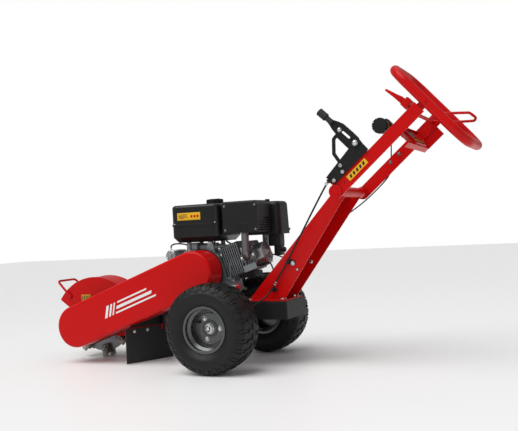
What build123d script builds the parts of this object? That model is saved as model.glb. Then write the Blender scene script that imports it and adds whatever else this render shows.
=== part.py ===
from build123d import *
import os
from math import atan2, cos, degrees, hypot, radians, sin, sqrt

# Walk-behind stump grinder, in millimetres. +Z is up and the machine's front is -X, so -Y is its
# left side. The origin lies on the floor under the middle of the machine's outline. Side profiles
# are drawn from the point on the floor under the axle, and the upper handle's parts in (s, n):
# s runs up along the handle from the fold pivot, n is square to it, towards the front.

os.makedirs("parts", exist_ok=True)

# ---------------------------------------------------------------- driving dimensions
RUNNING = 0.05  # radial clearance of a shaft in its bore
GAP = 0.3  # clearance between curved or moving faces
PLATE = 4  # general sheet thickness

# wheels
TYRE_R = 203
TYRE_HALF = 93
TRACK_HALF = 305.7
FLANGE_R = 105
FLANGE_HALF = 76
DISC_AT = 16  # outer face of the wheel disc, outward from the tyre's middle
DISC_T = 5
STUB_R = 12.5
AXLE_R = 22.5
AXLE_HALF = 206
DRUM_R = 62
DRUM_T = 4

# cutter
CUTTER_X = -849.4
TOOTH_R = 187.4
CUTTER_Z = TOOTH_R
SHAFT_R = 17.5
CUTTER_DISC_R = 160
CUTTER_DISC_T = 16
CUTTER_Y = 47
TOOTH_PAIRS = 8
TOOTH_PHASE = -82

# cutter housing
DRUM_X = -851.7
DRUM_Z = 148.4
HOUSING_R = 275
HOUSING_LEFT = -20
HOUSING_RIGHT = 114
MOUTH_ANGLE = 145  # front end of the arched roof
MOUTH_DEPTH = 71  # how far the radial front edge of the cheeks runs inwards
CHEEK_FOOT_Z = 118

# engine
CRANK_X = -153.1
CRANK_Z = 441.5
CRANK_HEIGHT = 106  # crank axis above the engine's feet
PTO_FACE = -62
SIDE_COVER_FACE = -78
CASE_RIGHT = 96
CYL_TILT = 18
CYL_DROP = 15  # cylinder axis below the crank axis
FIN_PITCH = 11
FIN_T = 4
FIN_COUNT = 9
ENGINE_SHAFT_R = 12.7

# belt drive
GUARD_R = 105
GUARD_FACE = -205
GUARD_BACK = -90
GUARD_WALL = 3
GUARD_FILLET = 14
DRIVEN_R = 80
DRIVER_R = 65
PULLEY_LEFT = -180
PULLEY_W = 50
BELTS = 3
BELT_W = 10
BELT_PITCH = 15

# frame
RAIL_W = 50
RAIL_IN = 20
RAIL_TOP = 290
RAIL_H = 60
RAIL_FRONT = -720
RAIL_REAR = 282
DECK_T = 8
BOX_HALF = 115
BOX_REAR = 287
BOX_FRONT = -30
BOX_LOW = 216
BOX_HIGH = RAIL_TOP
BOX_T = 5

# lower handle
PIVOT_X = 578.3
PIVOT_Z = 777.1
PIVOT_TUBE_R = 23
PIVOT_PIN_R = 12
COLUMN_T = 5
COLUMN_FOOT_HALF = 75
COLUMN_TOP_HALF = 117
COLUMN_FOOT = (81, 262)
COLUMN_TOP = (538, 606)
FOOT_BOLT_X = 254
FOOT_BOLT_OUT, FOOT_BOLT_IN = 88, 56
FOOT_PLATE_T = 6
FLAP_OUT = (-548, 192)
FLAP_IN = (-455, 2)
FLAP_LOW = 5
FLAP_HIGH = 175

# upper handle
HANDLE_ANGLE = 40.83
BAR_OUT = 193
BAR_T = 8
BAR_FRONT = 23.3
BAR_BACK = 31.7
BAR_END = 498
WING_N = 49
WING_END = 218
CAP_R = 29.4
CAP_T = 7
LOOP_S = 530
LOOP_TUBE_R = 21
LOOP_HALF = 185
LOOP_TOP_N = 205
LOOP_LOW_N = -236
LOOP_BEND = 95
LOOP_BOLT_S = 519
CONSOLE_S = 362
CONSOLE_T = 3
CONSOLE_LOW_N = -77
CONSOLE_TOP_N = 20
CHEEK_END_S = 460
POD_S = 327
POD_N = 68
POD_R = 30
KNOB_R = 33
LEVER_S = 208.7
LEVER_N = 80
LEVER_LENGTH = 218

# free ends of the machine, from which the row's origin is set
BAIL_X = -1085
BAIL_Z = 408
ROD_R = 6
PADDLE_S = 613
PADDLE_N = -162

LEAN_S, LEAN_C = sin(radians(HANDLE_ANGLE)), cos(radians(HANDLE_ANGLE))
FRONT_END = BAIL_X - ROD_R
REAR_END = PIVOT_X + PADDLE_S * LEAN_C - PADDLE_N * LEAN_S + ROD_R
AXLE_X = -(FRONT_END + REAR_END) / 2
DECK_TOP = RAIL_TOP + DECK_T
COLUMN_FOOT_Z = DECK_TOP + FOOT_PLATE_T
ENGINE_FOOT_Z = CRANK_Z - CRANK_HEIGHT
BELT_RUN = hypot(CRANK_X - CUTTER_X, CRANK_Z - CUTTER_Z)
BELT_SLOPE = degrees(atan2(CRANK_Z - CUTTER_Z, CRANK_X - CUTTER_X))


def side(y, x=0, z=0):
    """Vertical lengthwise plane: local x is machine X from (x, z), local y is Z, normal -Y."""
    return Plane(origin=(AXLE_X + x, y, z), x_dir=(1, 0, 0), z_dir=(0, -1, 0))


def top(z, x=0, y=0):
    """Level plane at height z, local x and y are machine X and Y."""
    return Plane(origin=(AXLE_X + x, y, z), x_dir=(1, 0, 0), z_dir=(0, 0, 1))


def across(x, y=0, z=0):
    """Vertical crosswise plane: local x is machine Y, local y is Z, normal +X."""
    return Plane(origin=(AXLE_X + x, y, z), x_dir=(0, 1, 0), z_dir=(1, 0, 0))


def lean(y, s=0, n=0):
    """Plane of the upper handle at width y: local x is s, local y is n, normal -Y."""
    x = PIVOT_X + s * LEAN_C - n * LEAN_S
    z = PIVOT_Z + s * LEAN_S + n * LEAN_C
    return Plane(origin=(AXLE_X + x, y, z), x_dir=(LEAN_C, 0, LEAN_S), z_dir=(0, -1, 0))


def slope(y):
    """Plane along the belt drive from the cutter axis: local x runs to the crank, normal -Y."""
    c, s = cos(radians(BELT_SLOPE)), sin(radians(BELT_SLOPE))
    return Plane(origin=(AXLE_X + CUTTER_X, y, CUTTER_Z), x_dir=(c, 0, s), z_dir=(0, -1, 0))


def barrel(y, a=0):
    """Vertical plane with local x along the engine's cylinder, from the crank axis, normal -Y."""
    c, s = cos(radians(CYL_TILT)), sin(radians(CYL_TILT))
    x = CRANK_X + CYL_DROP * s + a * c
    z = CRANK_Z - CYL_DROP * c + a * s
    return Plane(origin=(AXLE_X + x, y, z), x_dir=(c, 0, s), z_dir=(0, -1, 0))


def bore_face(a):
    """Plane square to the engine's cylinder, a along its axis: local x is Y, normal outwards."""
    c, s = cos(radians(CYL_TILT)), sin(radians(CYL_TILT))
    x = CRANK_X + CYL_DROP * s + a * c
    z = CRANK_Z - CYL_DROP * c + a * s
    return Plane(origin=(AXLE_X + x, 0, z), x_dir=(0, 1, 0), z_dir=(c, 0, s))


def square_to(s):
    """Plane square to the upper handle at s: local x is Y, local y is n, normal up the handle."""
    x = PIVOT_X + s * LEAN_C
    z = PIVOT_Z + s * LEAN_S
    return Plane(origin=(AXLE_X + x, 0, z), x_dir=(0, 1, 0), z_dir=(LEAN_C, 0, LEAN_S))


def strip(p, q, width):
    """A round-ended strip between two points of the sketch."""
    length = hypot(q[0] - p[0], q[1] - p[1])
    with Locations(((p[0] + q[0]) / 2, (p[1] + q[1]) / 2)):
        SlotCenterToCenter(length, width, rotation=degrees(atan2(q[1] - p[1], q[0] - p[0])))


def block(x0, x1, y0, y1, z0, z1, mode=Mode.ADD):
    """A square-edged block between two corners given from the floor under the axle."""
    with BuildSketch(top(z0, (x0 + x1) / 2, (y0 + y1) / 2)) as outline:
        Rectangle(x1 - x0, y1 - y0)
    extrude(outline.sketch, amount=z1 - z0, mode=mode)


def peg(y0, y1, x, z, radius, mode=Mode.ADD):
    """A round pin along Y at (x, z)."""
    with BuildSketch(side(y1, x, z)) as outline:
        Circle(radius)
    extrude(outline.sketch, amount=y1 - y0, mode=mode)


def leant_peg(y0, y1, s, n, radius, mode=Mode.ADD):
    """A round pin along Y on the upper handle."""
    with BuildSketch(lean(y1, s, n)) as outline:
        Circle(radius)
    extrude(outline.sketch, amount=y1 - y0, mode=mode)


def ring_on(y0, y1, x, z, outer, inner):
    """A flat ring along Y at (x, z)."""
    with BuildSketch(side(y1, x, z)) as outline:
        Circle(outer)
        Circle(inner, mode=Mode.SUBTRACT)
    extrude(outline.sketch, amount=y1 - y0)


def point(x, y, z):
    """A point given from the floor under the axle."""
    return Vector(AXLE_X + x, y, z)


def leant(s, n, y):
    """A point of the upper handle."""
    return Vector(
        AXLE_X + PIVOT_X + s * LEAN_C - n * LEAN_S, y, PIVOT_Z + s * LEAN_S + n * LEAN_C
    )


# ================================================================ wheels
def tyre_section():
    """A tyre's section: beads inside the rim flanges, round walls and a crowned tread."""
    bead = FLANGE_HALF - 3 - GAP
    seat = FLANGE_R - 8.2
    lip = FLANGE_R + 1
    shoulder = TYRE_HALF - 19
    tread = TYRE_R - 7
    Line((-bead, seat), (-bead, lip))
    ThreePointArc((-bead, lip), (-TYRE_HALF, 150), (-shoulder, tread))
    ThreePointArc((-shoulder, tread), (0, TYRE_R), (shoulder, tread))
    ThreePointArc((shoulder, tread), (TYRE_HALF, 150), (bead, lip))
    Line((bead, lip), (bead, seat))
    Line((bead, seat), (bead - 14, seat))
    ThreePointArc((bead - 14, seat), (TYRE_HALF - 9, 150), (shoulder - 7, tread - 8))
    ThreePointArc((shoulder - 7, tread - 8), (0, TYRE_R - 9), (7 - shoulder, tread - 8))
    ThreePointArc((7 - shoulder, tread - 8), (9 - TYRE_HALF, 150), (14 - bead, seat))
    Line((14 - bead, seat), (-bead, seat))


def rim_section(sign):
    """Rim band, disc and hub tube in one section; sign is -1 on the left wheel, +1 on the right."""
    f, wall = FLANGE_HALF, 2.6
    seat, well = FLANGE_R - 8.5, FLANGE_R - 21
    band = [(-f, FLANGE_R), (-f + 3, FLANGE_R), (-f + 3, seat), (-f + 18, seat), (-f + 28, well)]
    band += [(f - 28, well), (f - 18, seat), (f - 3, seat), (f - 3, FLANGE_R), (f, FLANGE_R)]
    inner = [(f, seat - wall), (f - 19, seat - wall), (f - 29, well - wall)]
    disc_out, disc_in = DISC_AT, DISC_AT - DISC_T
    bore = STUB_R + RUNNING
    inner += [(disc_out, well - wall), (disc_out, 34), (disc_out + 3, 31), (disc_out + 3, bore)]
    inner += [(-38, bore), (-38, 24), (disc_in, 24), (disc_in, well - wall)]
    inner += [(-f + 29, well - wall), (-f + 19, seat - wall), (-f, seat - wall)]
    Polyline(*[(sign * a, r) for a, r in band + inner], close=True)


def wheel_axis(y):
    return Axis((AXLE_X, y, TYRE_R), (0, 1, 0))


with BuildPart() as tyre_left:
    with BuildSketch(across(0, -TRACK_HALF, TYRE_R)):
        with BuildLine():
            tyre_section()
        make_face()
    revolve(axis=wheel_axis(-TRACK_HALF))
tyre_left.part.label = "tyre_left"
export_step(tyre_left.part, "parts/tyre_left.step")

with BuildPart() as tyre_right:
    with BuildSketch(across(0, TRACK_HALF, TYRE_R)):
        with BuildLine():
            tyre_section()
        make_face()
    revolve(axis=wheel_axis(TRACK_HALF))
tyre_right.part.label = "tyre_right"
export_step(tyre_right.part, "parts/tyre_right.step")

# The left rim also carries the brake drum, open towards the machine.
DRUM_MOUTH = FLANGE_HALF - 3
with BuildPart() as rim_left:
    with BuildSketch(across(0, -TRACK_HALF, TYRE_R)):
        with BuildLine():
            rim_section(-1)
        make_face()
    revolve(axis=wheel_axis(-TRACK_HALF))
    ring_on(-TRACK_HALF - DISC_AT + DISC_T, -TRACK_HALF + DRUM_MOUTH, 0, TYRE_R,
            DRUM_R + DRUM_T, DRUM_R)
rim_left.part.label = "rim_left"
export_step(rim_left.part, "parts/rim_left.step")

with BuildPart() as rim_right:
    with BuildSketch(across(0, TRACK_HALF, TYRE_R)):
        with BuildLine():
            rim_section(1)
        make_face()
    revolve(axis=wheel_axis(TRACK_HALF))
rim_right.part.label = "rim_right"
export_step(rim_right.part, "parts/rim_right.step")

# Axle tube with a turned stub at each end, the hub nuts and the left brake's back plate.
BRAKE_PLATE_Y = -TRACK_HALF + DRUM_MOUTH + 1
HUB_IN = TRACK_HALF - 38
HUB_OUT = TRACK_HALF + DISC_AT + 3
NUT_T = 14
CAM_X, CAM_Z, CAM_R = 34, 34, 7
with BuildPart() as axle:
    peg(-AXLE_HALF, AXLE_HALF, 0, TYRE_R, AXLE_R)
    peg(GAP - HUB_IN, HUB_IN - GAP, 0, TYRE_R, STUB_R + 5)
    peg(-HUB_OUT - NUT_T - 3, HUB_OUT + NUT_T + 3, 0, TYRE_R, STUB_R)
    for nut_y in (HUB_OUT + GAP + NUT_T, -HUB_OUT - GAP):
        with BuildSketch(side(nut_y, 0, TYRE_R)):
            RegularPolygon(17, 6)
        extrude(amount=NUT_T)
    peg(BRAKE_PLATE_Y, BRAKE_PLATE_Y + 4, 0, TYRE_R, DRUM_R - 2)
    peg(BRAKE_PLATE_Y, BRAKE_PLATE_Y + 4, CAM_X, TYRE_R + CAM_Z, CAM_R + RUNNING, Mode.SUBTRACT)
    # arm that anchors the brake cable's sheath
    with BuildSketch(side(-AXLE_HALF + 5)):
        strip((0, TYRE_R), (86, 268), 24)
    extrude(amount=5)
    block(92, 98, -215, -AXLE_HALF + 5, 261, 279)
axle.part.label = "axle"
export_step(axle.part, "parts/axle.step")

# Cam spindle and lever that spread the brake shoes when the cable pulls.
ARM_Y = BRAKE_PLATE_Y + 4 + GAP
ARM_TIP = (74, 268)
with BuildPart() as brake_arm:
    with BuildSketch(side(ARM_Y + 4)):
        strip((CAM_X, TYRE_R + CAM_Z), ARM_TIP, 16)
        with Locations((CAM_X, TYRE_R + CAM_Z)):
            Circle(11)
    extrude(amount=4)
    peg(BRAKE_PLATE_Y - 12, ARM_Y, CAM_X, TYRE_R + CAM_Z, CAM_R)
brake_arm.part.label = "brake_arm"
export_step(brake_arm.part, "parts/brake_arm.step")


# ================================================================ chassis
def rail(y0, y1):
    """One box-section frame rail, closed at the front by its own end wall."""
    block(RAIL_FRONT, RAIL_REAR, y0, y1, RAIL_TOP - RAIL_H, RAIL_TOP)


GUARD_ARM_1, GUARD_ARM_2 = -540, -420
with BuildPart() as main_frame:
    rail(-RAIL_IN - RAIL_W, -RAIL_IN)
    rail(RAIL_IN, RAIL_IN + RAIL_W)
    for cross_x in (-470, -250, 60):
        block(cross_x, cross_x + 40, -RAIL_IN, RAIL_IN, RAIL_TOP - RAIL_H + 5, RAIL_TOP - 5)
    # saddles that the axle tube is welded into
    for saddle_y in (-RAIL_IN - RAIL_W + 5, RAIL_IN + 5):
        block(-34, 34, saddle_y, saddle_y + RAIL_W - 10, TYRE_R, RAIL_TOP - RAIL_H)
    peg(-AXLE_HALF, AXLE_HALF, 0, TYRE_R, AXLE_R, Mode.SUBTRACT)
    # arms that hold the belt guard's back plate
    for arm_x in (GUARD_ARM_1, GUARD_ARM_2):
        block(arm_x - 15, arm_x + 15, GUARD_BACK + 4, -RAIL_IN - RAIL_W, 240, 284)
    # tail that the rubber flaps' straps are welded to
    block(-445, -433, -12, 12, FLAP_HIGH - 26, RAIL_TOP - RAIL_H + 5)
    # the right rail stops at the cutter housing's arched roof
    peg(0, 200, DRUM_X, DRUM_Z, HOUSING_R, Mode.SUBTRACT)
    for rail_y in (-RAIL_IN - RAIL_W + 4, RAIL_IN + 4):
        block(RAIL_FRONT + 4 if rail_y < 0 else -560, RAIL_REAR, rail_y, rail_y + RAIL_W - 8,
              RAIL_TOP - RAIL_H + 4, RAIL_TOP - 4, Mode.SUBTRACT)
main_frame.part.label = "main_frame"
export_step(main_frame.part, "parts/main_frame.step")

with BuildPart() as engine_plate:
    with BuildSketch(top(RAIL_TOP)):
        with BuildLine():
            Polyline((-330, -84), (-60, -84), (-30, -BOX_HALF), (BOX_REAR, -BOX_HALF),
                     (BOX_REAR, BOX_HALF), (-330, BOX_HALF), close=True)
        make_face()
    extrude(amount=DECK_T)
    for riser_y in (-84, 78):
        block(-294, -18, riser_y, riser_y + 34, DECK_TOP, ENGINE_FOOT_Z)
engine_plate.part.label = "engine_plate"
export_step(engine_plate.part, "parts/engine_plate.step")

with BuildPart() as rear_bumper:
    for wall_y in (-BOX_HALF, BOX_HALF - BOX_T):
        block(AXLE_R + 4, BOX_REAR, wall_y, wall_y + BOX_T, BOX_LOW, BOX_HIGH)
    block(BOX_REAR - BOX_T, BOX_REAR, -BOX_HALF, BOX_HALF, BOX_LOW, BOX_HIGH)
    fillet(rear_bumper.edges().filter_by(Axis.Z).group_by(Axis.X)[-1], 6)
rear_bumper.part.label = "rear_bumper"
export_step(rear_bumper.part, "parts/rear_bumper.step")


# ================================================================ cutter housing
def on_drum(radius, angle):
    """A point at a radius and angle about the housing's arch centre."""
    return (DRUM_X + radius * cos(radians(angle)), DRUM_Z + radius * sin(radians(angle)))


def cheek():
    """Outline of a side plate: arched top, radial front edge, foot below the cutter's shaft."""
    arch = ThreePointArc(on_drum(HOUSING_R, 0), on_drum(HOUSING_R, 75),
                         on_drum(HOUSING_R, MOUTH_ANGLE))
    Polyline(arch @ 1, on_drum(HOUSING_R - MOUTH_DEPTH, MOUTH_ANGLE), (-930, 150),
             (CUTTER_X, CHEEK_FOOT_Z), (DRUM_X + HOUSING_R, CHEEK_FOOT_Z), arch @ 0)


with BuildPart() as cutter_housing:
    for cheek_y in (HOUSING_LEFT + PLATE, HOUSING_RIGHT):
        with BuildSketch(side(cheek_y)):
            with BuildLine():
                cheek()
            make_face()
            with Locations((CUTTER_X, CUTTER_Z)):
                Circle(30, mode=Mode.SUBTRACT)
        extrude(amount=PLATE)
    with BuildSketch(side(HOUSING_RIGHT)):
        with BuildLine():
            outer = ThreePointArc(on_drum(HOUSING_R, 0), on_drum(HOUSING_R, 75),
                                  on_drum(HOUSING_R, MOUTH_ANGLE))
            inner = ThreePointArc(on_drum(HOUSING_R - PLATE, 0),
                                  on_drum(HOUSING_R - PLATE, 75),
                                  on_drum(HOUSING_R - PLATE, MOUTH_ANGLE))
            Line(outer @ 0, inner @ 0)
            Line(outer @ 1, inner @ 1)
        make_face()
    extrude(amount=HOUSING_RIGHT - HOUSING_LEFT)
    block(DRUM_X + HOUSING_R - PLATE, DRUM_X + HOUSING_R, HOUSING_LEFT, HOUSING_RIGHT,
          CHEEK_FOOT_Z, DRUM_Z)
cutter_housing.part.label = "cutter_housing"
export_step(cutter_housing.part, "parts/cutter_housing.step")

BAIL_LEFT, BAIL_RIGHT = HOUSING_LEFT - ROD_R - 1, HOUSING_RIGHT + ROD_R + 1
with BuildPart() as lift_bail:
    with BuildLine() as bail_path:
        FilletPolyline(point(-1004, BAIL_LEFT, 322), point(BAIL_X, BAIL_LEFT, BAIL_Z),
                       point(BAIL_X, BAIL_RIGHT, BAIL_Z), point(-1004, BAIL_RIGHT, 322),
                       radius=18)
    with BuildSketch(Plane(origin=bail_path.line @ 0, z_dir=bail_path.line % 0)):
        Circle(ROD_R)
    sweep()
    for pad_y in (HOUSING_LEFT, HOUSING_RIGHT + 4):
        with BuildSketch(side(pad_y)):
            strip((-1008, 326), (-1030, 348), 22)
        extrude(amount=4)
lift_bail.part.label = "lift_bail"
export_step(lift_bail.part, "parts/lift_bail.step")

# Straps and rubber flaps behind the cutter, one each side, swept back towards the middle.
FLAP_RUN = hypot(FLAP_IN[0] - FLAP_OUT[0], FLAP_IN[1] - FLAP_OUT[1])


def flap_plane(sign):
    """Level plane at the flaps' foot with local x along a flap, from its outer end inwards."""
    run = (FLAP_IN[0] - FLAP_OUT[0], sign * (FLAP_IN[1] - FLAP_OUT[1]), 0)
    return Plane(origin=(AXLE_X + FLAP_OUT[0], sign * FLAP_OUT[1], FLAP_LOW), x_dir=run)


with BuildPart() as flap_straps:
    for flap_side in (-1, 1):
        with BuildSketch(flap_plane(flap_side).offset(FLAP_HIGH - FLAP_LOW - 22)):
            with Locations((FLAP_RUN / 2 - 2, flap_side * -3.5)):
                Rectangle(FLAP_RUN - 6, 3)
        extrude(amount=26)
    block(-463, -445, -9, 9, FLAP_HIGH - 22, FLAP_HIGH + 4)
flap_straps.part.label = "flap_straps"
export_step(flap_straps.part, "parts/flap_straps.step")

with BuildPart() as rubber_flaps:
    for flap_side in (-1, 1):
        with BuildSketch(flap_plane(flap_side)):
            with Locations((FLAP_RUN / 2 - 8, flap_side * 1)):
                Rectangle(FLAP_RUN - 18, 6)
        extrude(amount=FLAP_HIGH - FLAP_LOW)
rubber_flaps.part.label = "rubber_flaps"
export_step(rubber_flaps.part, "parts/rubber_flaps.step")

# ================================================================ belt drive
with BuildPart() as belt_guard:
    with BuildSketch(slope(GUARD_BACK)):
        strip((0, 0), (BELT_RUN, 0), 2 * GUARD_R)
    extrude(amount=GUARD_BACK - GUARD_FACE)
    fillet(belt_guard.faces().sort_by(Axis.Y)[0].edges(), GUARD_FILLET)
    with BuildSketch(slope(GUARD_BACK)):
        strip((0, 0), (BELT_RUN, 0), 2 * (GUARD_R - GUARD_WALL))
    extrude(amount=GUARD_BACK - GUARD_FACE - GUARD_FILLET, mode=Mode.SUBTRACT)
    with BuildSketch(slope(GUARD_FACE + GUARD_FILLET)):
        strip((0, 0), (BELT_RUN, 0), 2 * (GUARD_R - GUARD_FILLET))
    extrude(amount=GUARD_FILLET - GUARD_WALL, mode=Mode.SUBTRACT)
belt_guard.part.label = "belt_guard"
export_step(belt_guard.part, "parts/belt_guard.step")

with BuildPart() as guard_back_plate:
    with BuildSketch(slope(GUARD_BACK + 4)):
        strip((0, 0), (BELT_RUN, 0), 2 * (GUARD_R + 4))
        Circle(30, mode=Mode.SUBTRACT)
        with Locations((BELT_RUN, 0)):
            Circle(48, mode=Mode.SUBTRACT)
    extrude(amount=4)
guard_back_plate.part.label = "guard_back_plate"
export_step(guard_back_plate.part, "parts/guard_back_plate.step")

with BuildPart() as shaft_bearings:
    for inner_y, tip_y in ((HOUSING_LEFT, -50), (HOUSING_RIGHT, 144)):
        flange_y = max(inner_y, inner_y + (10 if tip_y > inner_y else 0))
        with BuildSketch(side(flange_y, CUTTER_X, CUTTER_Z)):
            RectangleRounded(96, 96, 18)
            Circle(SHAFT_R + RUNNING, mode=Mode.SUBTRACT)
        extrude(amount=10)
        ring_on(min(inner_y, tip_y), max(inner_y, tip_y), CUTTER_X, CUTTER_Z, 34,
                SHAFT_R + RUNNING)
shaft_bearings.part.label = "shaft_bearings"
export_step(shaft_bearings.part, "parts/shaft_bearings.step")


def pulley_section(radius, bore):
    """Half-section of a multi-groove belt pulley, x along its axis from the grooved face."""
    outline = [(0, bore), (0, radius)]
    for i in range(BELTS):
        mid = PULLEY_W / 2 + (i - (BELTS - 1) / 2) * BELT_PITCH
        outline += [(mid - BELT_W / 2 - GAP, radius), (mid - BELT_W / 2 - GAP, radius - 10)]
        outline += [(mid + BELT_W / 2 + GAP, radius - 10), (mid + BELT_W / 2 + GAP, radius)]
    outline += [(PULLEY_W, radius), (PULLEY_W, bore)]
    Polyline(*outline, close=True)


with BuildPart() as driven_pulley:
    with BuildSketch(across(CUTTER_X, PULLEY_LEFT, CUTTER_Z)):
        with BuildLine():
            pulley_section(DRIVEN_R, SHAFT_R)
        make_face()
    revolve(axis=Axis((AXLE_X + CUTTER_X, 0, CUTTER_Z), (0, 1, 0)))
driven_pulley.part.label = "driven_pulley"
export_step(driven_pulley.part, "parts/driven_pulley.step")

with BuildPart() as drive_pulley:
    with BuildSketch(across(CRANK_X, PULLEY_LEFT, CRANK_Z)):
        with BuildLine():
            pulley_section(DRIVER_R, ENGINE_SHAFT_R)
        make_face()
    revolve(axis=Axis((AXLE_X + CRANK_X, 0, CRANK_Z), (0, 1, 0)))
drive_pulley.part.label = "drive_pulley"
export_step(drive_pulley.part, "parts/drive_pulley.step")

with BuildPart() as drive_belts:
    for i in range(BELTS):
        belt_y = PULLEY_LEFT + PULLEY_W / 2 + (i - (BELTS - 1) / 2) * BELT_PITCH + BELT_W / 2
        with BuildSketch(slope(belt_y)):
            Circle(DRIVEN_R + 1)
            with Locations((BELT_RUN, 0)):
                Circle(DRIVER_R + 1)
            make_hull()
        extrude(amount=BELT_W)
    for i in range(BELTS):
        belt_y = PULLEY_LEFT + PULLEY_W / 2 + (i - (BELTS - 1) / 2) * BELT_PITCH + BELT_W / 2
        with BuildSketch(slope(belt_y)):
            Circle(DRIVEN_R - 9)
            with Locations((BELT_RUN, 0)):
                Circle(DRIVER_R - 9)
            make_hull()
        extrude(amount=BELT_W, mode=Mode.SUBTRACT)
drive_belts.part.label = "drive_belts"
export_step(drive_belts.part, "parts/drive_belts.step")

# ================================================================ cutter
with BuildPart() as cutter_shaft:
    peg(PULLEY_LEFT - 4, 150, CUTTER_X, CUTTER_Z, SHAFT_R)
cutter_shaft.part.label = "cutter_shaft"
export_step(cutter_shaft.part, "parts/cutter_shaft.step")

with BuildPart() as cutter_disc:
    peg(CUTTER_Y - CUTTER_DISC_T / 2, CUTTER_Y + CUTTER_DISC_T / 2, CUTTER_X, CUTTER_Z,
        CUTTER_DISC_R)
    peg(CUTTER_Y - 24, CUTTER_Y + 24, CUTTER_X, CUTTER_Z, 38)
    peg(CUTTER_Y - 24, CUTTER_Y + 24, CUTTER_X, CUTTER_Z, SHAFT_R, Mode.SUBTRACT)
cutter_disc.part.label = "cutter_disc"
export_step(cutter_disc.part, "parts/cutter_disc.step")

HOLDER_T = 20
TOOTH_T = 12


def round_cutter(y, thickness, near, far, width):
    """Blocks at every tooth station, from one radius to another, cut to the teeth's circle."""
    with BuildSketch(side(y, CUTTER_X, CUTTER_Z)) as outline:
        with PolarLocations((near + far) / 2, TOOTH_PAIRS, TOOTH_PHASE):
            Rectangle(far - near, width)
        Circle(TOOTH_R, mode=Mode.INTERSECT)
    extrude(outline.sketch, amount=thickness)


DISC_NEAR = CUTTER_Y - CUTTER_DISC_T / 2
DISC_FAR = CUTTER_Y + CUTTER_DISC_T / 2
with BuildPart() as tooth_holders:
    round_cutter(DISC_NEAR, HOLDER_T, 122, 172, 40)
    round_cutter(DISC_FAR + HOLDER_T, HOLDER_T, 122, 172, 40)
tooth_holders.part.label = "tooth_holders"
export_step(tooth_holders.part, "parts/tooth_holders.step")

with BuildPart() as cutter_teeth:
    round_cutter(DISC_NEAR - HOLDER_T, TOOTH_T, 142, TOOTH_R + 4, 28)
    round_cutter(DISC_FAR + HOLDER_T + TOOTH_T, TOOTH_T, 142, TOOTH_R + 4, 28)
cutter_teeth.part.label = "cutter_teeth"
export_step(cutter_teeth.part, "parts/cutter_teeth.step")

# ================================================================ lower handle
COLUMN_RISE = PIVOT_Z - COLUMN_FOOT_Z


def column_cut(z, ends, half, inset, tail):
    """Level outline of the column at height z, set in from the front and sides, run past behind."""
    x0, x1 = ends[0] + inset, ends[1] + tail
    with BuildSketch(top(z, (x0 + x1) / 2)) as outline:
        Rectangle(x1 - x0, 2 * half)
    return outline.sketch


with BuildPart() as lower_handle:
    foot_cut = column_cut(COLUMN_FOOT_Z, COLUMN_FOOT, COLUMN_FOOT_HALF, 0, 0)
    head_cut = column_cut(PIVOT_Z, COLUMN_TOP, COLUMN_TOP_HALF, 0, 0)
    loft([foot_cut, head_cut], ruled=True)
    foot_hollow = column_cut(COLUMN_FOOT_Z, COLUMN_FOOT, COLUMN_FOOT_HALF - COLUMN_T, 7, 30)
    head_hollow = column_cut(PIVOT_Z, COLUMN_TOP, COLUMN_TOP_HALF - COLUMN_T, 7, 30)
    loft([foot_hollow, head_hollow], ruled=True, mode=Mode.SUBTRACT)
    block(74, BOX_REAR - 6, -100, 100, DECK_TOP, COLUMN_FOOT_Z)
    # pivot tube with a collar and a journal at each end
    peg(-178, 178, PIVOT_X, PIVOT_Z, PIVOT_TUBE_R)
    peg(-BAR_OUT + GAP, BAR_OUT - GAP, PIVOT_X, PIVOT_Z, PIVOT_PIN_R)
    for collar_y in (-BAR_OUT + BAR_T + GAP, 176):
        peg(collar_y, collar_y + BAR_OUT - BAR_T - GAP - 176, PIVOT_X, PIVOT_Z, 29)
lower_handle.part.label = "lower_handle"
export_step(lower_handle.part, "parts/lower_handle.step")


def column_side(z):
    """Half-width of the column's outer face at height z."""
    share = (z - COLUMN_FOOT_Z) / COLUMN_RISE
    return COLUMN_FOOT_HALF + share * (COLUMN_TOP_HALF - COLUMN_FOOT_HALF)


# Two saddle clips that hold the brake cable to the column's left side.
CLIP_Z = 478
CLIP_X = 300
FERRULE_Z = 352
with BuildPart() as cable_clamp:
    for clip_z, clip_x, reach in ((CLIP_Z, CLIP_X, 34), (FERRULE_Z, 212, 16)):
        lean_out = (COLUMN_TOP_HALF - COLUMN_FOOT_HALF) / COLUMN_RISE
        clip_plane = Plane(origin=point(clip_x, -column_side(clip_z), clip_z),
                           x_dir=(1, 0, 0), z_dir=(0, -1, -lean_out))
        with BuildSketch(clip_plane):
            with Locations((reach / 2 - 6, 0)):
                RectangleRounded(reach + 6, 18, 3, rotation=-25)
        extrude(amount=4)
cable_clamp.part.label = "cable_clamp"
export_step(cable_clamp.part, "parts/cable_clamp.step")

# ================================================================ engine
CYL_MID_Y = 17
FIN_HALF = 62
FIN_RISE = 18
HEAD_FIN_RISE = 8
CASE_OUT = 95
CYL_OUT = 205
HEAD_OUT = 266
COVER_OUT = 308
CASE_TOP = 545
TANK_LOW = 585
TANK_TOP = 768
TANK_SEAM = 670


def case_outline(inset):
    """Crankcase seen from the side, with the cylinder's seat square to the cylinder."""
    c, s = cos(radians(CYL_TILT)), sin(radians(CYL_TILT))
    x = CRANK_X + CYL_DROP * s + (CASE_OUT - inset) * c
    z = CRANK_Z - CYL_DROP * c + (CASE_OUT - inset) * s
    reach = FIN_HALF - inset
    Polyline(
        (-290 + inset, ENGINE_FOOT_Z + inset), (-26 - inset, ENGINE_FOOT_Z + inset),
        (x + reach * s, z - reach * c), (x - reach * s, z + reach * c),
        (-130 - inset / 2, CASE_TOP - inset), (-262 + inset / 2, CASE_TOP - inset),
        (-290 + inset, 515 - inset / 2), close=True,
    )


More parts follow.
